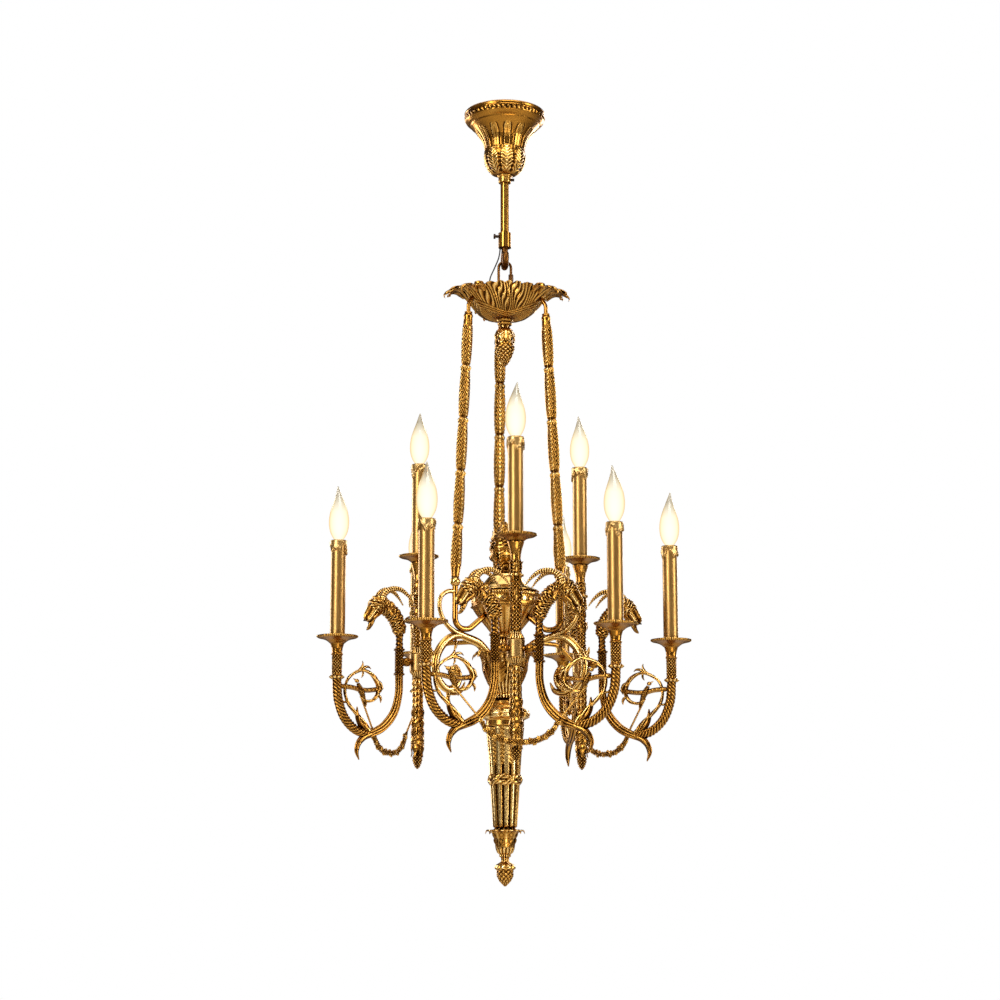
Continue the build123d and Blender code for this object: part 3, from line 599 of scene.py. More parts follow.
def outward(line):
    """(reach, height) pairs as points that reach out to the front, along -Y."""
    line = np.array(line, float)
    return np.stack([np.zeros(len(line)), -line[:, 0], line[:, 1]], axis=1)


def tapered(count, *stops):
    """Radii along a bar through (t, radius) stops."""
    t, radius = np.array(stops, float).T
    return np.interp(np.linspace(0, 1, count), t, radius)


ACROSS = (1, 0, 0)


def bar(line, radius, **rest):
    """Bar along a line in the plane that reaches out to the front."""
    path = outward(line)
    if not np.isscalar(radius):
        radius = tapered(len(path), *radius)
    return swept(path, radius, side=ACROSS, **rest)


def thorn(spine, size):
    """Pointed bud that swells and ends in a tip, with a groove down each side."""
    path = evenly(through(spine, 24), 0.6)
    return bar(
        path, [(0, size * 0.5), (0.35, size), (0.7, size * 0.7), (1, 0.3)], around=20,
        relief=lambda s, angle: flutes(s, angle, 4), depth=size * 0.3,
    )


def front_leaf(spine, width, **rest):
    """Leaf whose spine lies in the plane that reaches out to the front."""
    return leaf(outward(spine), width, side=ACROSS, **rest)


# %% [markdown]
# ## Chasing
# The same few patterns return on the whole lamp: cross-hatched diamonds, overlapping leaves and
# flutes. As formulas of height and angle they fit any round part, where an image would need to
# be unwrapped and would blur from near by.

# %% Chased patterns
def scales(s, angle, pitch=5.4, around=8):
    """Cross-hatched diamonds."""
    lean = np.pi * s / pitch
    return np.abs(np.cos(around / 2 * angle + lean) * np.cos(around / 2 * angle - lean)) ** 1.3


def rope(s, angle, pitch=15.0, strands=4):
    """Twisted strands."""
    return ridges(strands / 2 * angle + np.pi * s / pitch) ** 0.8


def flutes(s, angle, count=10):
    """Upright ribs with valleys between them."""
    return ridges(count / 2 * angle) ** 1.3 * np.ones_like(s)


def leafy(s, angle, pitch=7.0, lean=2.2, ranks=2):
    """Overlapping leaves with herringbone veins, in ranks round the bar."""
    across = np.abs(np.sin(ranks * angle / 2))
    veins = ridges(np.pi * s / pitch - lean * across)
    midrib = np.exp(-((across / 0.2) ** 2))
    seam = np.exp(-(((1 - across) / 0.06) ** 2))
    return np.clip(0.75 * veins + 0.5 * midrib - 0.25 * seam, 0, 1)


def turned_by_height(rows, relief, depth, around=240):
    """Surface of revolution whose relief reads (height, angle) instead of t."""
    rows = np.array(rows, float)
    return turned(rows, around=around, relief=lambda t, angle: relief(rows[:, 1:2], angle), depth=depth)


def on_posts(part, level=0.0, facing=True):
    """Copies of a net on the three posts' axes, facing outwards or all facing the front."""
    return joined([
        placed(part, turn if facing else 0.0, (*spots[f"{name}_high"][:2], level)) for name, turn in GROUPS.items()
    ])


# %% [markdown]
# ## Bulbs and candles
# The bulbs are blown clear glass flames with a drawn, bent tip. A lit filament fills the lower
# part with light, so the glass glows there and only the tip shows as glass.

# %% Bulb glass
flame_glass, tree, output = new_material("clear_flame_glass")
lit = node(tree, "ShaderNodeAttribute", attribute_name="tone").outputs["Fac"]
edge = node(tree, "ShaderNodeLayerWeight", Blend=0.35).outputs["Facing"]
core = ramp(tree, edge, [(0.0, "#FFFAEA"), (0.3, "#FFEFC9"), (0.6, "#EFCF95"), (1.0, "#B98F58")])
glow = node(tree, "ShaderNodeEmission", [("Color", core)], Strength=1.15)
clear = node(tree, "ShaderNodeBsdfTransparent", Color=linear("#DAD4C8"))
shine = node(tree, "ShaderNodeBsdfGlossy", Color=linear("#D8D2C8"), Roughness=0.05)
skin = node(tree, "ShaderNodeMixShader", [("Fac", edge)])
tree.links.new(clear.outputs[0], skin.inputs[1])
tree.links.new(shine.outputs[0], skin.inputs[2])
waver = node(tree, "ShaderNodeTexNoise", [("Vector", node(tree, "ShaderNodeTexCoord").outputs["Object"])], Scale=60.0)
amount = node(tree, "ShaderNodeMath", [(0, waver.outputs["Fac"]), (2, lit)], operation="MULTIPLY_ADD", use_clamp=True)
amount.inputs[1].default_value = 0.12
both = node(tree, "ShaderNodeMixShader", [("Fac", amount.outputs[0])])
tree.links.new(skin.outputs[0], both.inputs[1])
tree.links.new(glow.outputs[0], both.inputs[2])
tree.links.new(both.outputs[0], output.inputs["Surface"])

# %% [markdown]
# Each bulb is one profile turned and then bent at its tip, and every tip leans its own way, as
# nine hand-drawn bulbs do. The screw caps are hidden in the tubes and need no turns of thread.

# %% Nine bulbs
LAMPS = [f"{group}_{place}" for group in GROUPS for place in ("high", "left", "right")]
CANDLE_LENGTH = high("candle_tubes")[2] - high("drip_pans")[2] + 7
BULB_TIP = 95.0
spots = {}
for number, lamp in enumerate(LAMPS):
    centre = middle(f"bulb_{lamp}")
    tip = high(f"bulb_{lamp}")[2]
    spots[lamp] = (centre[0], centre[1], tip - BULB_TIP - CANDLE_LENGTH)
    rise = tip - BULB_TIP
    outline = through(
        [(6.4, -25), (6.6, 0), (9.5, 4), (14.6, 14), (17.3, 29), (16.2, 45), (12.2, 60), (7.2, 74), (3.3, 86),
         (0.9, 94.6)], 72,
    )
    glass = turned(outline, around=48)
    lift = glass["verts"][:, 2]
    drawn = np.clip((lift - 58) / 37, 0, 1)
    lean = np.radians(70 * number + 20)
    glass["verts"] = glass["verts"] + (3.5 * drawn**2)[:, None] * np.array([np.cos(lean), np.sin(lean), 0])
    lit_body = np.clip(1.25 - 1.15 * np.clip((lift - 38) / 40, 0, 1), 0.03, 1)
    glass["tones"] = lit_body * np.clip((lift + 6) / 8, 0.25, 1)
    build(
        f"flame_bulb_{lamp}", placed(glass, at=(centre[0], centre[1], rise)), flame_glass,
        f"bulb_{lamp}", [f"bulb_{lamp}"],
    )

# %% [markdown]
# The candle tubes are drawn brass, brushed lengthwise. A spun top ring has run down like wax,
# which is modelled as a band whose lower edge is a sum of a few waves round the tube.

# %% Candle tubes
def candle(turn):
    """Tube with wax-like runs: the band reaches down by 13 + waves(angle) millimetres."""
    top = CANDLE_LENGTH
    rise = np.concatenate([
        np.linspace(0, 2, 4), np.linspace(2.5, top - 34, 14),
        np.linspace(top - 33, top, 44), np.linspace(top, top - 20, 6),
    ])
    outside = np.arange(len(rise)) < len(rise) - 6
    base = np.where(outside, 14.1, 11.8)
    profile = np.stack([base, rise], axis=1)

    def runs(t, angle):
        shifted = angle + turn
        reach = 15 + 5 * np.sin(3 * shifted) + 4.5 * np.sin(5 * shifted + 1.7) + 2.5 * np.sin(11 * shifted)
        below_top = CANDLE_LENGTH - rise[:, None]
        wax = np.clip((reach - below_top) / 1.6, 0, 1)
        bead = np.exp(-(((reach - below_top - 2.4) / 2.2) ** 2))
        lip = np.clip(1 - below_top / 2.0, 0, 1)
        raised = 0.12 + 0.55 * wax + 0.4 * bead - 0.2 * lip
        return np.where(outside[:, None], np.clip(raised, 0, 1), 0.3)

    return turned(profile, around=72, relief=runs, depth=3.0)


tubes = []
for number, lamp in enumerate(LAMPS):
    tube = candle(number * 1.9)
    tube["tones"] = np.clip(tube["tones"] + 0.35, 0, 1)
    tubes.append(placed(tube, at=spots[lamp]))
build("brushed_candle_tubes", joined(tubes), satin_brass, stands_for=["candle_tubes"])

# %% [markdown]
# The drip pans are spun dishes with a string of beads pressed into the rim. The beads are waves
# of the relief, so the rim stays one skin.

# %% Beaded drip pans
def pan_relief(z, angle):
    """A string of beads round the rim."""
    return 0.45 + 0.55 * band(z, -1.2, 3.4, 0.6) * (2 * ridges(30 * angle) - 1)


pan_outline = sampled(
    [(12, -10.5), (13.5, -10), (16, -7.6), (20, -5), (26, -2.9), (32.6, -1.4), (34.2, 0), (34.9, 1.2), (34.4, 2.8),
     (32.6, 3), (32, 1), (24, 0), (15.5, 0.8), (14.2, 3), (12, 3.4)], 2.0,
)
pan = turned_by_height(pan_outline, pan_relief, 2.0, around=160)
pans = joined([placed(pan, at=spots[lamp]) for lamp in LAMPS])
build("beaded_drip_pans", pans, cast_brass, stands_for=["drip_pans"])

# %% [markdown]
# ## The arms
# Each group has a post in the middle and two arms. An arm is one casting: a cross-hatched
# sleeve, a fluted run below it, a leafy bend out to the crossing, and a roped run up to its
# own candle. It is swept along the bends, and its chasing is a relief over length and angle.

# %% Side arms
def side_arm():
    """One arm, reaching out along -Y from its post, with heights from the drums' middle."""
    knob = evenly([(12, 0), (42, 0)], 1.0)
    sleeve = evenly([(41, -24), (41, 22)], 0.7)
    collar = evenly([(41, 20), (41, 54)], 0.8)
    lower = evenly(through([(41, -22), (42, -58), (52, -90), (74, -115), (104, -130)], 60), 1.2)
    tail = evenly(through([(100, -128), (116, -135), (126, -146), (129, -158), (124, -173)], 40), 0.7)
    roped = evenly(through([(101, -129), (130, -123), (154, -104), (168, -74), (172, -37)], 80), 0.8)
    leaf_up = [(108, -124), (120, -114), (128, -100), (129, -83)]
    parts = [
        bar(knob, [(0, 5), (0.2, 5), (0.27, 7.2), (0.45, 8.0), (0.6, 7.2), (0.68, 5.0), (1, 5.5)], around=28),
        bar(
            sleeve, [(0, 8.8), (0.05, 9.6), (0.08, 7.0), (0.92, 7.0), (0.95, 9.6), (1, 8.8)],
            around=64, relief=scales, depth=2.8,
        ),
        bar(collar, [(0, 6.8), (0.5, 6.0), (1, 7.4)], around=48, relief=leafy, depth=1.8),
        bar(
            lower, [(0, 6.0), (0.3, 5.8), (0.65, 7.0), (0.85, 6.6), (1, 5.0)],
            around=48, relief=lambda s, angle: flutes(s, angle, 8), depth=2.2,
        ),
        bar(
            tail, [(0, 5.6), (0.35, 5.6), (0.7, 4.2), (1, 0.5)],
            around=32, relief=lambda s, angle: flutes(s, angle, 4), depth=1.2,
        ),
        bar(
            roped, [(0, 4.8), (0.12, 6.8), (0.9, 7.0), (1, 6.6)],
            around=54, relief=lambda s, angle: rope(s, angle, 6.4, 6), depth=2.6,
        ),
        thorn(leaf_up, 5.4),
        ball((0, -108, -128), (6.4, 7.4, 6.6)),
    ]
    return joined(parts)


def groups_of(part, name):
    """A side arm's part placed on both arms of a group."""
    post = spots[f"{name}_high"]
    copies = [placed(part, GROUPS[name] + SIDES[side], (post[0], post[1], drum_level)) for side in SIDES]
    return joined(copies)


# The arms' tones are scaled down, so the arms come out darker brown.
ARM_TONE_SCALE = 0.64
arm = side_arm()
arm["tones"] = arm["tones"] * ARM_TONE_SCALE
for name in GROUPS:
    build(f"cast_arms_{name}", groups_of(arm, name), cast_brass, stands_for=[f"arms_{name}"])

# %% [markdown]
# A cup holds each candle that stands on an arm: a spiked ring at the foot, a cross-hatched
# sleeve and a plain trumpet. It is one turned casting with chasing that changes with height.

# %% Candle cups
def cup_relief(t, angle):
    """Spiked ring at the foot and scales on the sleeve, under a plain trumpet."""
    ring = band(t, 0.0, 0.16, 0.02) * (ridges(5 * angle) - 0.4)
    sleeve = band(t, 0.18, 0.66, 0.02) * (scales(t * 62, angle, 5.0, 10) - 0.5)
    return np.clip(0.5 + ring + sleeve, 0, 1)


cup_low = low("candle_cups")[2] - spots["front_left"][2]
cup_rows = sampled(
    above(cup_low, [
        (6, 0), (9, 0), (12.5, 3), (9, 7), (8.2, 9), (8.4, 40), (10.4, 42), (8.8, 45), (9.4, 52), (11.5, 59),
    ]) + [(14, -6.5), (12, -5.8)], 0.9,
)
cup = turned(cup_rows, around=80, relief=cup_relief, depth=2.2)
cups = joined([placed(cup, at=spots[lamp]) for lamp in LAMPS if "high" not in lamp])
build("chased_candle_cups", cups, cast_brass, stands_for=["candle_cups"])

# %% [markdown]
# ## Goat heads
# A goat's head rears from the top of each arm's sleeve. The neck and skull are swept bars, the
# long horns carry evenly spaced rings, and the ears are small leaves.

# %% Goats
def wool(s, angle):
    """Small tight curls."""
    rows_of_curls = 0.32 * np.sin(1.25 * s + 2.6 * np.sin(4 * angle))
    ranks_of_curls = 0.3 * np.sin(7 * angle + 2.2 * np.sin(0.75 * s))
    return np.clip(0.5 + rows_of_curls + ranks_of_curls, 0, 1)


def hide(s, angle):
    """Curls on the skull, then flat planes on the muzzle."""
    return np.clip(wool(s * 1.1, angle) * (s < 36) + (s >= 36) * (0.55 + 0.4 * np.cos(4 * angle)), 0, 1)


def goat():
    """Neck, head, horns, ears, eyes and beard, facing out along -Y."""
    neck = evenly(through([(41, 47), (43, 60), (52, 77), (66, 90), (84, 96)], 50), 0.9)
    skull = evenly(through([(70, 99), (82, 101), (93, 93), (103, 80), (112, 66)], 40), 0.6)
    horn = evenly(through([(86, 100), (80, 115), (66, 124), (48, 124), (33, 114), (22, 101)], 60), 0.5)
    jaw = evenly(through([(84, 86), (95, 77), (105, 66)], 20), 0.7)
    parts = [
        bar(
            neck, [(0, 7.5), (0.06, 10.5), (0.16, 12.0), (0.5, 13.0), (0.85, 13.4), (1, 11)],
            around=60, relief=wool, depth=3.4,
        ),
        bar(
            skull, [
                (0, 6), (0.12, 12), (0.3, 14.6), (0.45, 13.6), (0.6, 10.8), (0.78, 9.4), (0.9, 8.8), (0.97, 6.6),
                (1, 3),
            ],
            around=60, relief=hide, depth=2.8,
        ),
        bar(jaw, [(0, 7.5), (0.7, 6.2), (1, 3.4)], around=24, flat=0.8),
    ]
    for aside in (-1, 1):
        one = bar(
            horn, [(0, 5.6), (0.3, 4.8), (0.7, 3.2), (1, 0.8)], around=24,
            relief=lambda s, angle: ridges(np.pi * s / 4.2) * np.ones_like(angle), depth=1.2,
        )
        spread = np.clip((86 + one["verts"][:, 1]) / 60, 0, 1)
        one["verts"] = one["verts"] + aside * (7.5 + 8 * spread)[:, None] * np.array([1, 0, 0])
        parts.append(one)
        parts.append(ball((aside * 12.2, -95, 89.5), (2.2, 3.0, 2.6), around=14, rows=8, tone=0.95))
        parts.append(ball((aside * 11.0, -93, 94.5), (3.8, 5.6, 2.4), around=14, rows=8, tone=0.7))
        ear = [(aside * 11, -80, 92), (aside * 19, -77, 89), (aside * 26, -76, 81), (aside * 28, -79, 72)]
        parts.append(leaf(ear, 5.2, lobes=1, thick=3.0, rows=24, across=18, side=(0, 1, 0), nick=0))
        # Nostrils: tone 0.05 paints the shade of the holes, with their patina, onto two small raised balls.
        parts.append(ball((aside * 3.2, -114.5, 66.5), (1.5, 1.6, 1.3), around=12, rows=8, tone=0.05))
    beard = evenly(through([(99, 70), (103, 61), (106, 55), (111, 50)], 24), 0.6)
    parts.append(bar(
        beard, [(0, 4.6), (0.4, 4.0), (0.8, 2.4), (1, 0.5)],
        around=24, relief=lambda s, angle: ridges(4 * angle + 0.2 * s), depth=1.6,
    ))
    return joined(parts)


goat_head = goat()
for name in GROUPS:
    build(f"goat_heads_{name}", groups_of(goat_head, name), cast_brass, stands_for=[f"goats_{name}"])

# %% [markdown]
# ## Vine rings and birds
# A thin tendril rings the gap under each goat, and a bird with spread wings holds it together.

# %% Vine ring with its bird
def vine():
    """Tendril from the crossing, up the outside, over the top and back in to the bird."""
    ring = [
        (103, -124), (118, -106), (134, -92), (149, -76), (155, -56), (149, -37), (134, -25), (116, -20),
        (98, -27), (87, -41), (86, -58), (96, -70), (112, -72), (123, -65),
    ]
    tendril = evenly(through(ring, 260), 1.1)
    parts = [bar(
        tendril, [(0, 4.4), (0.12, 3.2), (0.4, 2.3), (0.62, 2.4), (0.72, 4.0), (0.8, 3.6), (0.92, 2.4), (1, 1.2)],
        around=18, relief=lambda s, angle: ridges(2 * angle + 0.12 * s), depth=1.0,
    )]
    for spine, width in (
        ([(130, -23), (121, -16), (118, -9), (119, -4)], 3.4),
        ([(121, -20), (112, -14), (105, -14), (101, -17)], 3.2),
        ([(118, -20), (118, -28), (121, -33)], 2.6),
        ([(90, -36), (82, -40), (78, -48), (80, -56)], 4.2),
        ([(86, -60), (80, -66), (80, -74)], 3.6),
        ([(150, -76), (158, -76), (162, -70)], 2.4),
    ):
        parts.append(thorn(spine, width * 0.75))
    body = evenly(through([(128, -43), (125, -49), (121, -56), (117, -64), (113, -71)], 40), 0.6)
    parts.append(bar(
        body, [(0, 2.6), (0.2, 4.4), (0.45, 5.6), (0.7, 4.4), (1, 1.8)],
        around=32, relief=lambda s, angle: scales(s, angle, 3.2, 8), depth=1.1,
    ))
    parts.append(ball((0, -130, -39), (3.2, 4.4, 3.4), around=18, rows=12))
    parts.append(bar(evenly([(132, -38), (138, -35)], 0.5), [(0, 1.8), (1, 0.3)], around=12))
    for wing in ([(122, -54), (108, -54), (92, -52), (74, -49)], [(124, -54), (138, -51), (152, -50), (167, -50)]):
        parts.append(front_leaf(wing, 7.5, lobes=6, thick=6.5, rows=34, across=20, nick=0.3))
    parts.append(front_leaf([(115, -67), (112, -75), (111, -83)], 6, lobes=3, thick=2.0, rows=24, across=22))
    return joined(parts)


vines = joined([groups_of(vine(), name) for name in GROUPS])
build("vine_rings_with_birds", vines, cast_brass, stands_for=["vine_rings"])

# %% [markdown]
# ## The hanging work
# The canopy is a spun and chased bell. Its bands come from one relief over angle and height:
# an ornament band under the edge, raised tongues on the concave part and leaves at the foot.

# %% Canopy
def canopy_relief(z, angle):
    """Ornament band at the top, twelve arched tongues down the bell, leaves round the bulge."""
    key = band(z, -15, -8, 0.8) * (ridges(26 * angle) * (0.6 + 0.4 * np.cos(52 * angle + z)) - 0.5)
    tongue = np.abs(np.sin(6 * angle))
    arch = np.abs((z + 44) / 12)
    inside = np.where(z > -44, tongue**2 + arch**2 * 0.45, tongue**2)
    rim_line = np.exp(-(((inside - 0.42) / 0.10) ** 2)) + 0.7 * np.exp(-(((inside - 0.12) / 0.05) ** 2))
    groove = np.exp(-(((inside - 0.66) / 0.12) ** 2))
    arches = band(z, -76, -33, 3) * (0.5 * rim_line - 0.55 * groove)
    lobes = np.abs(np.sin(4 * angle))
    veins = ridges(z * 0.5 - 4.5 * lobes)
    crown_edge = -77 + 6 * np.cos(8 * angle)
    midrib = np.exp(-((lobes / 0.14) ** 2))
    seam = np.exp(-(((1 - lobes) / 0.05) ** 2))
    leaves = 0.75 * veins + 0.5 * midrib - 0.6 * seam - 0.3
    foot = np.clip((crown_edge - z) / 2, 0, 1) * band(z, -117, -50, 3) * leaves
    return np.clip(0.5 + key + arches + foot, 0, 1)


canopy_rows = [
    (11.6, -118), (16, -117.4), (23, -114), (30, -107), (34.8, -98), (36.8, -87), (36.4, -78), (35.6, -70),
    (36.8, -63), (38.6, -57), (41.6, -50), (46, -43), (50.5, -37), (56.5, -30), (60, -26.4), (61.4, -25.4),
    (61.6, -23.6), (66, -20.4), (70, -16.6), (72, -11.5), (72.9, -7.4), (71.6, -6.4), (72.9, -5), (72.9, -2),
    (71.6, -0.4), (70, -6), (61, -20), (42, -43), (33.5, -66), (33.5, -96), (20, -112), (12, -115),
]
bell = turned_by_height(sampled(canopy_rows, 1.3), canopy_relief, 2.4)
collar_rows = sampled([
    (8.4, -131.6), (11, -131.6), (11.5, -129), (11.5, -121), (13.5, -119.5), (13.5, -117.6), (9, -117.4),
])
bell = joined([bell, turned(collar_rows, around=48)])
build("chased_canopy", bell, cast_brass, "canopy", ["canopy", "canopy_collar"])

# %% [markdown]
# The crown is a bowl of wavy ribs under three acanthus leaves that roll over its rim.

# %% Crown
bowl_foot, bowl_rim = low("crown_bowl")[2], high("crown_bowl")[2]
ROD_ANGLE = np.radians(ROD_TURNS[0] - 90)


def crown_shell(around=432, rows=58, thick=2.4):
    """Shell whose profile runs from a plain bowl to a rolled-over leaf. Each direction mixes the
    two by how close it lies to a rod; the rim is nicked into tips and the ribs fan and wave."""
    angle = np.linspace(0, 2 * np.pi, around, endpoint=False)[None, :]
    aside = (np.degrees(angle - ROD_ANGLE) + 60) % 120 - 60
    leaf_share = np.exp(-((np.abs(aside) / 33) ** 2.6))
    tips = np.abs(np.cos(np.radians(15 * aside)))
    reach = 1 - (0.05 + 0.13 * leaf_share) * (1 - tips) - 0.05 * (1 - leaf_share)
    t = np.linspace(0, 1, rows)[:, None] * reach
    places = np.linspace(0, 1, 9)
    plain_bowl = np.array([(13, 0), (25, 1.5), (37, 6), (46, 13), (53, 22), (58, 31), (62, 40), (66, 49), (71, 57)])
    rolled = np.array([(13, 0), (26, 2), (40, 7), (53, 16), (66, 29), (79, 42), (93, 47), (107, 42), (118, 32)])
    shape = [
        np.interp(t, places, plain_bowl[:, axis]) * (1 - leaf_share)
        + np.interp(t, places, rolled[:, axis]) * leaf_share
        for axis in (0, 1)
    ]
    border = 0.11 + 0.24 * (1 - np.clip(np.abs(aside) / 60, 0, 1)) ** 1.4
    over = np.clip((t - border) / 0.02, 0, 1)
    waves = 33 * angle + over * 1.5 * np.sin(9 * t + 0.2 * aside) + (1 - over) * 0.8
    ribs = ridges(waves) ** 1.3
    edge = sum(np.exp(-(((t - border - shift) / 0.016) ** 2)) for shift in (0.02, 0.075, 0.13))
    ribs = np.where((t > border) & (t < border + 0.16), 0.15, ribs)
    midrib = np.exp(-((aside / 1.6) ** 2)) * over
    raised = np.clip(0.06 + 0.9 * ribs * (0.8 + 0.2 * t) + 0.7 * edge + 0.4 * midrib, 0, 1)
    outside = shape[0] + 1.6 * over + 3.4 * (raised - 0.5)
    inside = shape[0] - thick * (1 - 0.5 * t)
    lift = np.concatenate([shape[1], (shape[1] + 0.8 * (1 - t))[::-1]]) + bowl_foot
    radius = np.maximum(np.concatenate([outside, inside[::-1]]), 1)
    points = np.stack([radius * np.cos(angle), radius * np.sin(angle), lift], axis=-1)
    tone = np.concatenate([raised, np.full_like(raised, 0.45)])
    return surface(points, tone=tone)


leaves = [crown_shell()]
for turn in ROD_TURNS:
    for aside, reach, drop in ((0, 119, 38), (-13, 116, 41), (13, 116, 41), (-25, 104, 33), (25, 104, 33)):
        spine = above(bowl_rim, [
            (74, -33), (88, -24), (100, -24), (reach - 5, -29), (reach, 3 - drop), (reach - 2, -drop),
        ])
        tip = front_leaf(spine, 9, lobes=4, thick=3.0, rows=32, across=22, nick=0.4)
        leaves.append(placed(tip, turn + aside))
build("acanthus_crown", joined(leaves), cast_brass, stands_for=["crown_bowl", "crown_leaves"])

hub_foot = low("crown_hub")[2]
bud_tip = low("crown_bud")[2]


def bud_relief(z, angle):
    """Leaf cap above and a seeded cone below."""
    climb = (z - bud_tip) / (hub_foot - bud_tip)
    veins = ridges(z * 0.4 - 3 * np.abs(np.sin(3 * angle)))
    leaf_cap = np.clip((climb - 0.5) / 0.05, 0, 1) * (ridges(3 * angle) * 0.6 + 0.4 * veins - 0.4)
    seed = np.abs(np.cos(5 * angle + z * 0.45) * np.cos(5 * angle - z * 0.45)) ** 0.6
    seeds = np.clip((0.5 - climb) / 0.05, 0, 1) * (seed - 0.45)
    return np.clip(0.45 + leaf_cap + seeds, 0, 1)


bud_rows = through(
    above(bud_tip, [(1.5, 0), (5, 4), (9.5, 12), (14, 23), (16.8, 34), (15.5, 46), (17.5, 54), (13.5, 63)])
    + above(hub_foot, [(7.5, -5), (8, 0)]), 90,
)
bud = turned_by_height(bud_rows, bud_relief, 3.0, around=120)
neck_rows = sampled(above(hub_foot, [(8, -1), (12, 0), (13.5, 2.5), (10.5, 4.5), (13, 6), (15, 9), (10, 9.5)]), 0.8)
bud_spine = above(hub_foot, [(5, -4), (13, -11), (16.5, -22), (20, -33)])
bud_leaf = front_leaf(bud_spine, 8, lobes=3, thick=2.2, rows=36, across=28)
bud = joined([bud, turned(neck_rows, around=64), ringed(bud_leaf, range(0, 360, 60))])
build("leafy_bud", bud, cast_brass, stands_for=["crown_hub", "crown_bud"])

# %% [markdown]
# Each suspension rod is a string of five leaf-sheathed links cast in one: narrow at the top of
# each, swelling down, with a ring of leaf tips at every neck.

# %% Suspension rods
ROD_REACH = {"top": 79.0, "foot": 105.0}
LINKS = 5
rod_top, rod_foot = high("suspension_rod_back")[2], low("suspension_rod_back")[2]
rod_line = evenly([(ROD_REACH["foot"], rod_foot), (ROD_REACH["top"], rod_top)], 1.0)
rod_length = rod_top - rod_foot


def rod_relief(s, angle):
    """Herringbone veins that slope up to a midrib on four faces, and tips at each neck."""
    along = (s / (rod_length / LINKS)) % 1.0
    across = np.arcsin(np.abs(np.sin(2 * angle))) / (np.pi / 2)
    veins = ridges(s * 0.40 - 6.0 * across)
    tips = np.exp(-(((along - 0.93) / 0.035) ** 2)) * ridges(4 * angle)
    smooth = np.clip((s - 16) / 6, 0, 1) * np.clip((rod_length - 22 - s) / 6, 0, 1)
    midrib = np.exp(-((across / 0.18) ** 2))
    neck = np.exp(-(((along - 0.99) / 0.025) ** 2))
    chased = np.clip(0.7 * veins + 0.5 * midrib - 0.3 * neck, 0, 1)
    return np.clip(smooth * (chased + 0.6 * tips) + (1 - smooth) * 0.55, 0, 1)


share = np.linspace(0, 1, len(rod_line))
along_link = (share * LINKS) % 1.0
belly = np.clip(np.sin(np.pi * np.clip(along_link * 1.06, 0, 1)), 0, 1) ** 0.55
swelling = 7.0 + 2.6 * belly - 1.0 * along_link
swelling = swelling + 1.6 * np.exp(-(((along_link - 0.93) / 0.04) ** 2))
plain_foot = np.clip(share * rod_length / 18, 0, 1)
swelling = 6.6 * (1 - plain_foot) + swelling * plain_foot
rod_net = swept(outward(rod_line), swelling, around=72, side=ACROSS, relief=rod_relief, depth=3.0)
for turn, name in zip(ROD_TURNS, ("right", "back", "left")):
    build(f"leafy_rod_{name}", placed(rod_net, turn), cast_brass, stands_for=[f"suspension_rod_{name}"])

# %% [markdown]
# ## The body
# Urn, calyx, hub, quiver, leaf cup and acorn are threaded on one hidden rod and clamp each
# other, so they are separate turned castings that meet at plain rings.

# %% Urn
lid_top, urn_foot = high("urn_lid")[2], low("urn_body")[2]
finial_top = high("urn_finial")[2]
lid_rows = sampled(
    above(rim_level, [
        (58, 1), (60, 2.5), (57, 4.5), (50, 6), (46, 9), (42, 10), (38, 16), (32, 24), (28.5, 28), (27.5, 31),
    ]) + above(lid_top, [(24, -1), (19, 0)]), 1.2,
)
build("urn_lid_spun", turned(lid_rows, around=120, tone=1.0), turned_brass, stands_for=["urn_lid"])


def frieze(z, angle):
    """Beads under the rim, linked rosettes in the frieze and gadroons on the bowl."""
    beads = band(z, rim_level - 6, rim_level - 2, 0.8) * (ridges(42 * angle) - 0.5)
    rosette = np.abs(np.cos(9 * angle)) * np.clip(1 - np.abs(z - (rim_level - 14)) / 8, 0, 1)
    drawn = 0.9 * np.clip(rosette - 0.25, 0, 1) + 0.25 * ridges(36 * angle + z * 0.5) - 0.2
    figures = band(z, rim_level - 22, rim_level - 7, 1) * drawn
    gadroons = band(z, urn_foot + 4, rim_level - 27, 4) * (ridges(12 * angle) - 0.5)
    return np.clip(0.62 + beads + figures + 0.6 * gadroons, 0, 1)


urn_rows = sampled(
    above(urn_foot, [(19.5, 0), (24, 1), (24.5, 5), (21, 7), (25, 12), (31, 20), (41, 32), (50, 44), (56, 53)])
    + above(rim_level, [(59.5, -25), (57.5, -23), (57.5, -7), (59.5, -6), (59.8, -1.5), (58, 0)]), 1.1,
)
build("urn_bowl_chased", turned_by_height(urn_rows, frieze, 2.4, around=300), cast_brass, stands_for=["urn_body"])

finial_rows = sampled(
    above(lid_top, [
        (15, 0), (19, 1), (19.5, 4), (14, 7), (13.5, 13), (18, 19), (23, 27), (25, 40), (23, 56), (17, 70), (9, 84),
    ]) + [(1, finial_top)], 1.2,
)


def finial_relief(z, angle):
    """Herringbone leaves in six ranks under the petals."""
    return leafy(z, angle, 6.0, 2.5, 6)


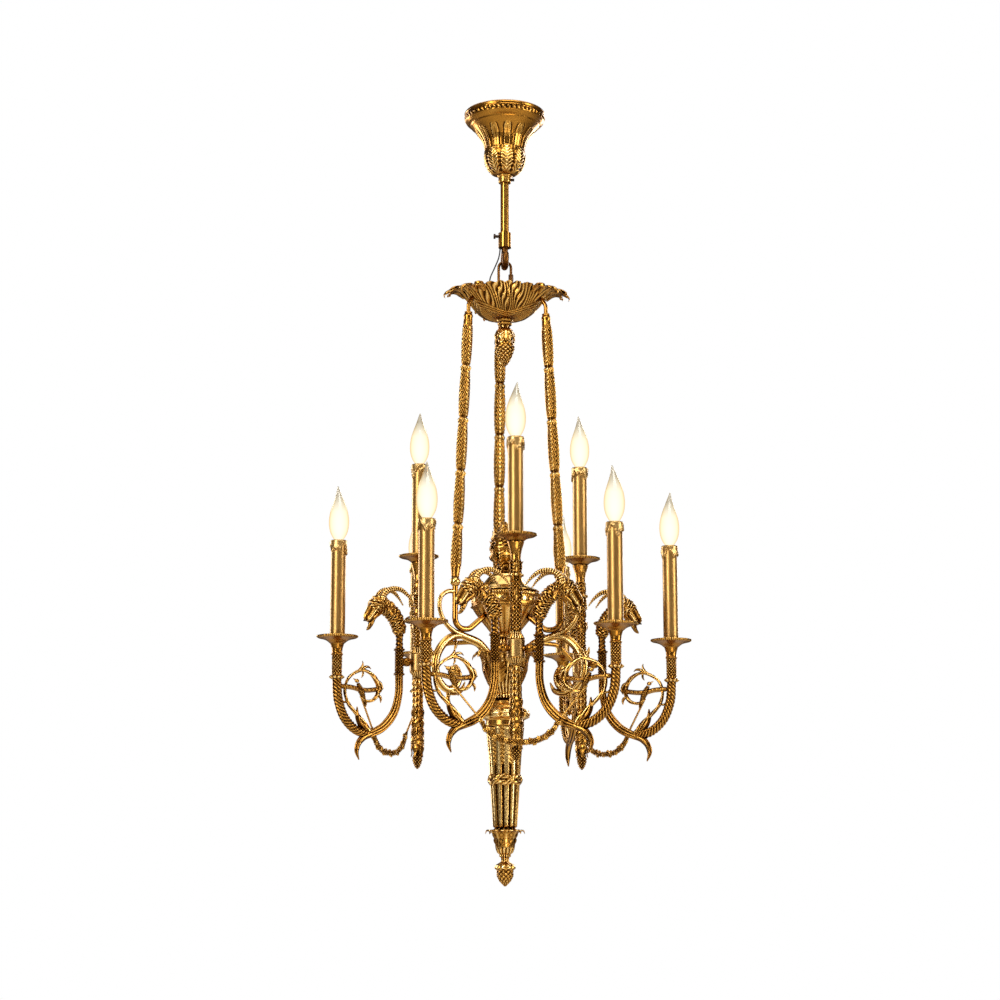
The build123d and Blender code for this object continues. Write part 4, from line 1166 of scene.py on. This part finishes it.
petals = [turned_by_height(finial_rows, finial_relief, 2.6, around=160)]
TIERS = ((6, 20, 27, 20, 11), (6, 34, 27, 22, 11), (6, 50, 24, 26, 10), (3, 62, 12, 30, 7))
for tier, (count, root, spread, rise, width) in enumerate(TIERS):
    for turn in np.arange(count) * 360 / count + tier * 30:
        spine = above(lid_top, [
            (spread - 8, root), (spread - 1, root + rise * 0.4), (spread - 3, root + rise * 0.8),
            (spread, min(root + rise + 2, 91)),
        ])
        petals.append(placed(front_leaf(spine, width, lobes=4, thick=2.2, rows=30, across=24), turn))
build("urn_finial_leafy", joined(petals), cast_brass, stands_for=["urn_finial"])

# %% [markdown]
# The urn stands on a calyx of long waved folds, with eight leaves that roll outwards under its
# rim. The folds are relief, and the leaves are free pieces, since their tips leave the surface.

# %% Calyx
calyx_top, calyx_foot = high("calyx")[2], low("calyx")[2]
lip = calyx_top - 26
calyx_rows = sampled(
    above(calyx_foot, [(17, 0), (22, 1), (22, 6), (20, 9), (24, 16), (30, 32), (36, 50)])
    + above(lip, [(42, -3), (43, 0), (40, 0), (32, -6), (24, 4)]) + [(19, calyx_top)],
)


def calyx_relief(z, angle):
    """Long upright folds that waver, with faint veins slanting across them."""
    folds = ridges(14 * angle + 0.4 * np.sin(z * 0.12))
    veins = ridges(z * 0.22 - 2.0 * np.abs(np.sin(7 * angle)))
    return np.clip(0.1 + 0.75 * folds + 0.2 * veins, 0, 1)


calyx_spine = above(calyx_foot, [(29, 26), (37, 48)]) + above(lip, [(43, -3), (50, 2), (57, -2), (59, -9)])
calyx_leaf = front_leaf(calyx_spine, 13, lobes=6, thick=3.0, rows=40, across=28)
calyx_net = [turned_by_height(calyx_rows, calyx_relief, 3.2, around=252), ringed(calyx_leaf, np.arange(22.5, 360, 45))]
build("calyx_of_leaves", joined(calyx_net), cast_brass, stands_for=["calyx"])

# %% [markdown]
# Under the calyx the arms meet in a hub with a leafy boss. Below it a fluted quiver narrows
# down, tied by a band of two waved cords that cross and are set with small knots.

# %% Hub, quiver, rope band
hub_top, hub_low = high("hub")[2], low("hub")[2]
hub_rows = sampled(
    above(hub_low, [
        (24, 0), (31, 1), (31.8, 3), (31.8, 12), (34, 14), (40, 17), (41.4, 23), (39, 29), (32, 32), (30, 36),
        (27, 39), (24, 41), (25, 44), (21, 46),
    ]) + [(18, hub_top)],
)


def boss_relief(z, angle):
    """Twelve leaf bosses round the belly between plain rings."""
    veins = ridges(z * 0.45 - 2.6 * np.abs(np.sin(6 * angle)))
    boss = band(z, hub_low + 13, hub_low + 33, 2) * (ridges(6 * angle) * 0.7 + 0.45 * veins - 0.5)
    return np.clip(0.72 + boss, 0, 1)


build("hub_with_bosses", turned_by_height(hub_rows, boss_relief, 3.6, around=220), cast_brass, stands_for=["hub"])
quiver_top, quiver_low = high("quiver")[2], low("quiver")[2]


def quiver_relief(z, angle):
    """Twelve tapering ribs; the grooves between them are filled with rope in the upper part."""
    rib = np.abs(np.cos(6 * angle))
    filled = (z > quiver_top - 62) * (0.25 + 0.6 * ridges(z * 0.45 + 9 * angle))
    return np.clip(np.where(rib > 0.6, 0.55 + 0.45 * rib, np.maximum(filled, 0.05 + 0.3 * rib)), 0, 1)


quiver_rows = sampled(
    above(quiver_low, [(17, 0), (18.5, 2), (22.5, 62), (26, 119)]) + above(quiver_top, [(30.5, -3), (31.5, 0)]), 1.3,
)
build("fluted_quiver", turned_by_height(quiver_rows, quiver_relief, 4.2, around=288), cast_brass, stands_for=["quiver"])
rope_middle = middle("rope_band")[2]
around = np.radians(np.linspace(0, 360, 300))
knots = []
for lift, phase in ((4.0, 0.0), (-4.0, 2.1)):
    height = rope_middle + lift + 1.4 * np.sin(6 * around + phase)
    loop = np.stack([24.2 * np.cos(around), 24.2 * np.sin(around), height], axis=1)
    knots.append(swept(loop, 4.6, around=20, side=(0, 0, 1), relief=lambda s, angle: rope(s, angle, 9.0, 4), depth=1.5))
knots.append(ringed(ball((0, -27.0, rope_middle), (5.0, 3.2, 5.0)), range(20, 360, 60)))
build("rope_knot_band", joined(knots), cast_brass, stands_for=["rope_band"])

# %% [markdown]
# The column ends in a fluted cup with eight leaves and a seeded acorn. The seeds come from two
# slanted sets of waves multiplied, which is also how crossed cuts leave them in wood.

# %% Leaf cup and acorn
cup_top, cup_foot = high("leaf_cup")[2], low("leaf_cup")[2]
tip_level = low("acorn")[2]
cup_rows = sampled(
    above(cup_foot, [
        (6, 0), (9, 1.5), (8.6, 5), (12.5, 8), (15, 14), (16, 28), (17.5, 38), (21, 42), (30, 44), (30, 46), (19, 47),
    ]) + [(16, cup_top)],
)


def cup_flutes(z, angle):
    """Fourteen upright flutes."""
    return np.clip(0.1 + ridges(7 * angle) * 0.9, 0, 1)


cup_body = turned_by_height(cup_rows, cup_flutes, 2.2, around=160)
cup_spine = above(cup_foot, [(15, 16), (18, 34), (24, 44), (31, 45), (34, 39)])
cup_leaf = front_leaf(cup_spine, 12, lobes=4, thick=2.2, rows=36, across=28)
cup_net = [cup_body, ringed(cup_leaf, range(0, 360, 45))]
build("leaf_cup_chased", joined(cup_net), cast_brass, stands_for=["leaf_cup"])


def acorn_relief(z, angle):
    """Seeded cone under a small leafy cap."""
    seeds = np.abs(np.cos(5 * angle + z * 0.4) * np.cos(5 * angle - z * 0.4)) ** 0.55
    return np.clip(np.where(z < tip_level + 29, seeds * 0.85, 0.5 + 0.5 * ridges(5 * angle)), 0, 1)


acorn_top = high("acorn")[2]
acorn_rows = through(
    above(tip_level, [(0.8, 0), (4, 3), (9.5, 9), (13.8, 18), (14.4, 27), (16.8, 30), (15.4, 35), (11, 38), (6, 42)])
    + [(6, acorn_top)], 70,
)
build("seeded_acorn", turned_by_height(acorn_rows, acorn_relief, 2.4, around=120), cast_brass, stands_for=["acorn"])

# %% [markdown]
# ## Posts, drums and drops
# Every group's post is a leafy shaft between its tall candle and its drum. The drum is a plain
# brushed barrel between two gadrooned cones, and a leafy drop hangs under it.

# %% Posts
post_foot, post_top = low("stems")[2], high("stems")[2]
ring_level = post_foot + 0.62 * (post_top - post_foot)


def post_relief(z, angle):
    """Scales to the ring, leaves just above it and a plain trumpet at the top."""
    lower = (z < ring_level - 3) * (0.75 * scales(z, angle, 6.5, 8) + 0.25 * ridges(4 * angle))
    ring = (np.abs(z - ring_level) <= 3) * (0.4 + 0.6 * ridges(4 * angle))
    upper = (z > ring_level + 3) * np.where(z < ring_level + 26, leafy(z, angle, 6.0, 2.4, 6), 0.6)
    return np.clip(lower + ring + upper, 0, 1)


post_rows = sampled(
    above(post_foot, [(6, 0), (9, 1), (9.4, 4), (8, 7), (8.6, 30)])
    + above(ring_level, [
        (8.2, -5), (8.6, -3), (12, -1.5), (12, 1.5), (8.6, 3), (8.8, 12), (8.0, 26), (8.4, 34),
    ]) + above(post_top, [(10.2, -14), (14, -2), (12, 0)]), 0.9,
)
posts = [turned_by_height(post_rows, post_relief, 2.8, around=84)]
for rise, phase in ((3, 0), (-22, 45), (-46, 0), (24, 45)):
    spine = above(ring_level + rise, [(7, -20), (9.6, -11), (9.4, -5), (12.6, 0)])
    spray = front_leaf(spine, 4.6, lobes=3, thick=2, rows=26, across=20)
    posts.append(ringed(spray, np.arange(45, 360, 90) + phase))
build("leafy_posts", on_posts(joined(posts)), cast_brass, stands_for=["stems"])

# %% [markdown]
# The cones are gadrooned and cast, and the barrel between them is brushed: two finishes that
# meet at an edge, so they are two pieces for one drum.

# %% Drums
def cone_relief(z, angle):
    """Gadroons on the cones; the barrel between them stays plain."""
    plain_part = np.clip((16.2 - np.abs(z)) / 0.6, 0, 1)
    return np.clip(0.55 * plain_part + (1 - plain_part) * ridges(9 * angle), 0, 1)


cones = turned_by_height(
    sampled([
        (6, -28), (7.5, -27.5), (8, -24), (9.5, -22), (13.5, -17), (14.6, -15.6), (14, -15), (14, 15), (14.6, 15.6),
        (13.5, 18), (11, 23), (8.6, 26), (9.2, 28), (6, 28),
    ], 0.8),
    cone_relief, 1.5, around=144,
)
build("gadrooned_cones", on_posts(cones, drum_level, facing=False), cast_brass)
barrel = turned(sampled([(13, -15.2), (14.9, -14.4), (14.9, 14.4), (13, 15.2)], 1.0), around=96)
barrels = on_posts(barrel, drum_level, facing=False)
build("brushed_barrels", barrels, satin_brass, stands_for=["drums"])

# %% [markdown]
# A drop is one turned shaft with bud scales, leaves and flutes in turn, and five wreaths of
# small leaves that stand off it.

# %% Drops
drop_top, drop_tip = high("drop_shafts")[2], low("drop_shafts")[2]
drop_rows = sampled(
    above(drop_tip, [
        (0.5, 0), (4, 4), (7.6, 13), (8.2, 20), (6, 27), (5.5, 30), (8, 33), (10.4, 42), (10, 58), (8.4, 90),
    ]) + above(drop_top, [(8.4, -14), (10, -9), (8.2, -4), (7, 0)]), 0.9,
)


def drop_relief(z, angle):
    """Bud scales at the tip, overlapping leaves above it, and flutes further up."""
    bud_part = (z < drop_tip + 29) * scales(z - drop_tip, angle, 6, 8)
    leaf_part = ((z >= drop_tip + 29) & (z < drop_tip + 74)) * leafy(z, angle, 5.0, 2.6, 6)
    veins = ridges(0.3 * z - 2 * np.abs(np.sin(4 * angle)))
    flute_part = (z >= drop_tip + 74) * (0.6 * ridges(4 * angle) + 0.4 * veins)
    return np.clip(bud_part + leaf_part + flute_part, 0, 1)


drops = [turned_by_height(drop_rows, drop_relief, 3.4, around=84)]
for rise, phase in ((46, 20), (60, 50), (74, 0), (90, 35), (108, 70)):
    spine = above(drop_tip + rise, [(7, 0), (10.5, -8), (9.6, -20), (11.6, -26)])
    drops.append(ringed(front_leaf(spine, 5, lobes=2, thick=2, rows=24, across=18), np.arange(0, 360, 72) + phase))
build("leafy_drops", on_posts(joined(drops)), cast_brass, stands_for=["drop_shafts"])

# %% [markdown]
# ## Scrolls and swags
# Under each suspension rod a thin loop swells into a ribbed C-scroll that rolls up on a rosette.

# %% Scrolls
def flower(at, size, petals=6):
    """Small rosette: a dome whose radius is waved by its petals."""
    tilt = np.linspace(0, np.pi, 14)[:, None]
    angle = np.linspace(0, 2 * np.pi, 48, endpoint=False)[None, :]
    wave = 0.62 + 0.38 * ridges(petals / 2 * angle + 1.2 * np.cos(tilt)) * np.sin(tilt) ** 0.5
    x = -np.cos(tilt) * 0.55 * np.ones_like(angle)
    y = np.sin(tilt) * np.cos(angle) * wave
    z = np.sin(tilt) * np.sin(angle) * wave
    net = np.stack([x, y, z], axis=-1) * size + np.array(at)
    return surface(net, tone=np.clip(wave * 1.3 - 0.4, 0, 1))


def scroll():
    """Loop, C-scroll, thorn leaves and rosette in a rod's plane."""
    loop = through(above(rim_level, [
        (106, -5), (120, -6), (134, -16), (137, -34), (128, -56), (108, -73), (84, -81), (56, -90), (36, -106),
        (25, -118),
    ]), 160)
    volute = through(above(rim_level, [
        (86, -80), (108, -82), (128, -95), (141, -114), (145, -136), (138, -158), (120, -172), (102, -166), (95, -148),
        (104, -133), (112, -138),
    ]), 200)

    def double_rib(s, angle):
        return np.clip(0.15 + 0.85 * np.abs(np.cos(2 * angle)) ** 0.6, 0, 1)

    parts = [
        bar(
            evenly(loop, 1.0), [(0, 3.0), (0.45, 3.4), (0.6, 5.8), (0.8, 6.4), (1, 5.0)],
            around=40, relief=double_rib, depth=1.6,
        ),
        bar(
            evenly(volute, 1.0), [(0, 4.0), (0.15, 6.2), (0.5, 6.6), (0.75, 5.0), (1, 2.4)],
            around=40, relief=double_rib, depth=1.8,
        ),
    ]
    for x in (-2.2, 2.2):
        parts.append(flower((x, -106, rim_level - 142), 11.5))
    for spine, width in (
        ([(104, -86), (103, -96), (106, -106)], 4.0),
        ([(142, -116), (152, -112), (156, -100)], 4.5),
        ([(120, -172), (118, -182), (124, -192)], 5.0),
        ([(58, -90), (52, -102), (58, -114)], 4.5),
        ([(130, -164), (110, -176), (92, -172), (84, -158)], 7.0),
    ):
        parts.append(thorn(above(rim_level, spine), width * 0.8))
    return joined(parts)


build("ribbed_scrolls", ringed(scroll(), ROD_TURNS), cast_brass, stands_for=["scrolls"])

# %% [markdown]
# Between the two arms of a group hangs a swag of flowers on two short chains of beads. The
# flowers sit round a scaled core, each turned on from the one before, so no gap shows.

# %% Swags
ARM_CROSSING = 121.0
SWAG_HALF = 66.8
chain_side = ARM_CROSSING * np.sin(np.radians(SIDES["right"]))
chain_out = ARM_CROSSING * np.cos(np.radians(SIDES["right"]))
sag = [(-SWAG_HALF, -116), (-50, -140), (-30, -152), (0, -156), (30, -152), (50, -140), (SWAG_HALF, -116)]
swag = through(sag, 120)
swag_path = np.stack([swag[:, 0], np.full(len(swag), -chain_out), swag[:, 1]], axis=1)
swag_line = evenly(swag_path, 1.0)
swag_radius = tapered(len(swag_line), (0, 1.6), (0.06, 3), (0.2, 4.2), (0.8, 4.2), (0.94, 3), (1, 1.6))
swag_net = [swept(
    swag_line, swag_radius, around=36, side=(0, -1, 0), relief=lambda s, angle: scales(s, angle, 5.2, 8), depth=3.0,
)]
blossoms = evenly(swag_path, 6.2)[1:-1]
for number, place in enumerate(blossoms):
    lean = number * 2.4
    at = place + 3.2 * np.array([0, -np.cos(lean), np.sin(lean)])
    swag_net.append(placed(flower((0, 0, 0), 4.6, 5), 90, at))
for aside in (-1, 1):
    beads = evenly([(aside * chain_side, -chain_out, -66), (aside * SWAG_HALF, -chain_out, -116)], 0.45)
    links = 1.2 + 0.8 * ridges(np.pi * np.arange(len(beads)) * 0.45 / 3.4)
    swag_net.append(swept(beads, links, around=12, side=(0, -1, 0)))
build("swags_of_flowers", on_posts(joined(swag_net), drum_level), cast_brass, stands_for=["garlands"])

# %% [markdown]
# Small cut balls fix the foot of each rod. A ball with few rows and columns has the facets.

# %% Ball nuts
facets = placed(ball((0, 0, 0), (9.5, 9.5, 9.0), around=8, rows=6, tone=0.8), 22)
reach = ROD_REACH["foot"]
nuts = []
for turn in ROD_TURNS:
    spin = np.radians(turn)
    nuts.append(placed(facets, turn, (reach * np.sin(spin), -reach * np.cos(spin), ball_level)))
build("faceted_ball_nuts", joined(nuts), turned_brass, stands_for=["ball_nuts"])
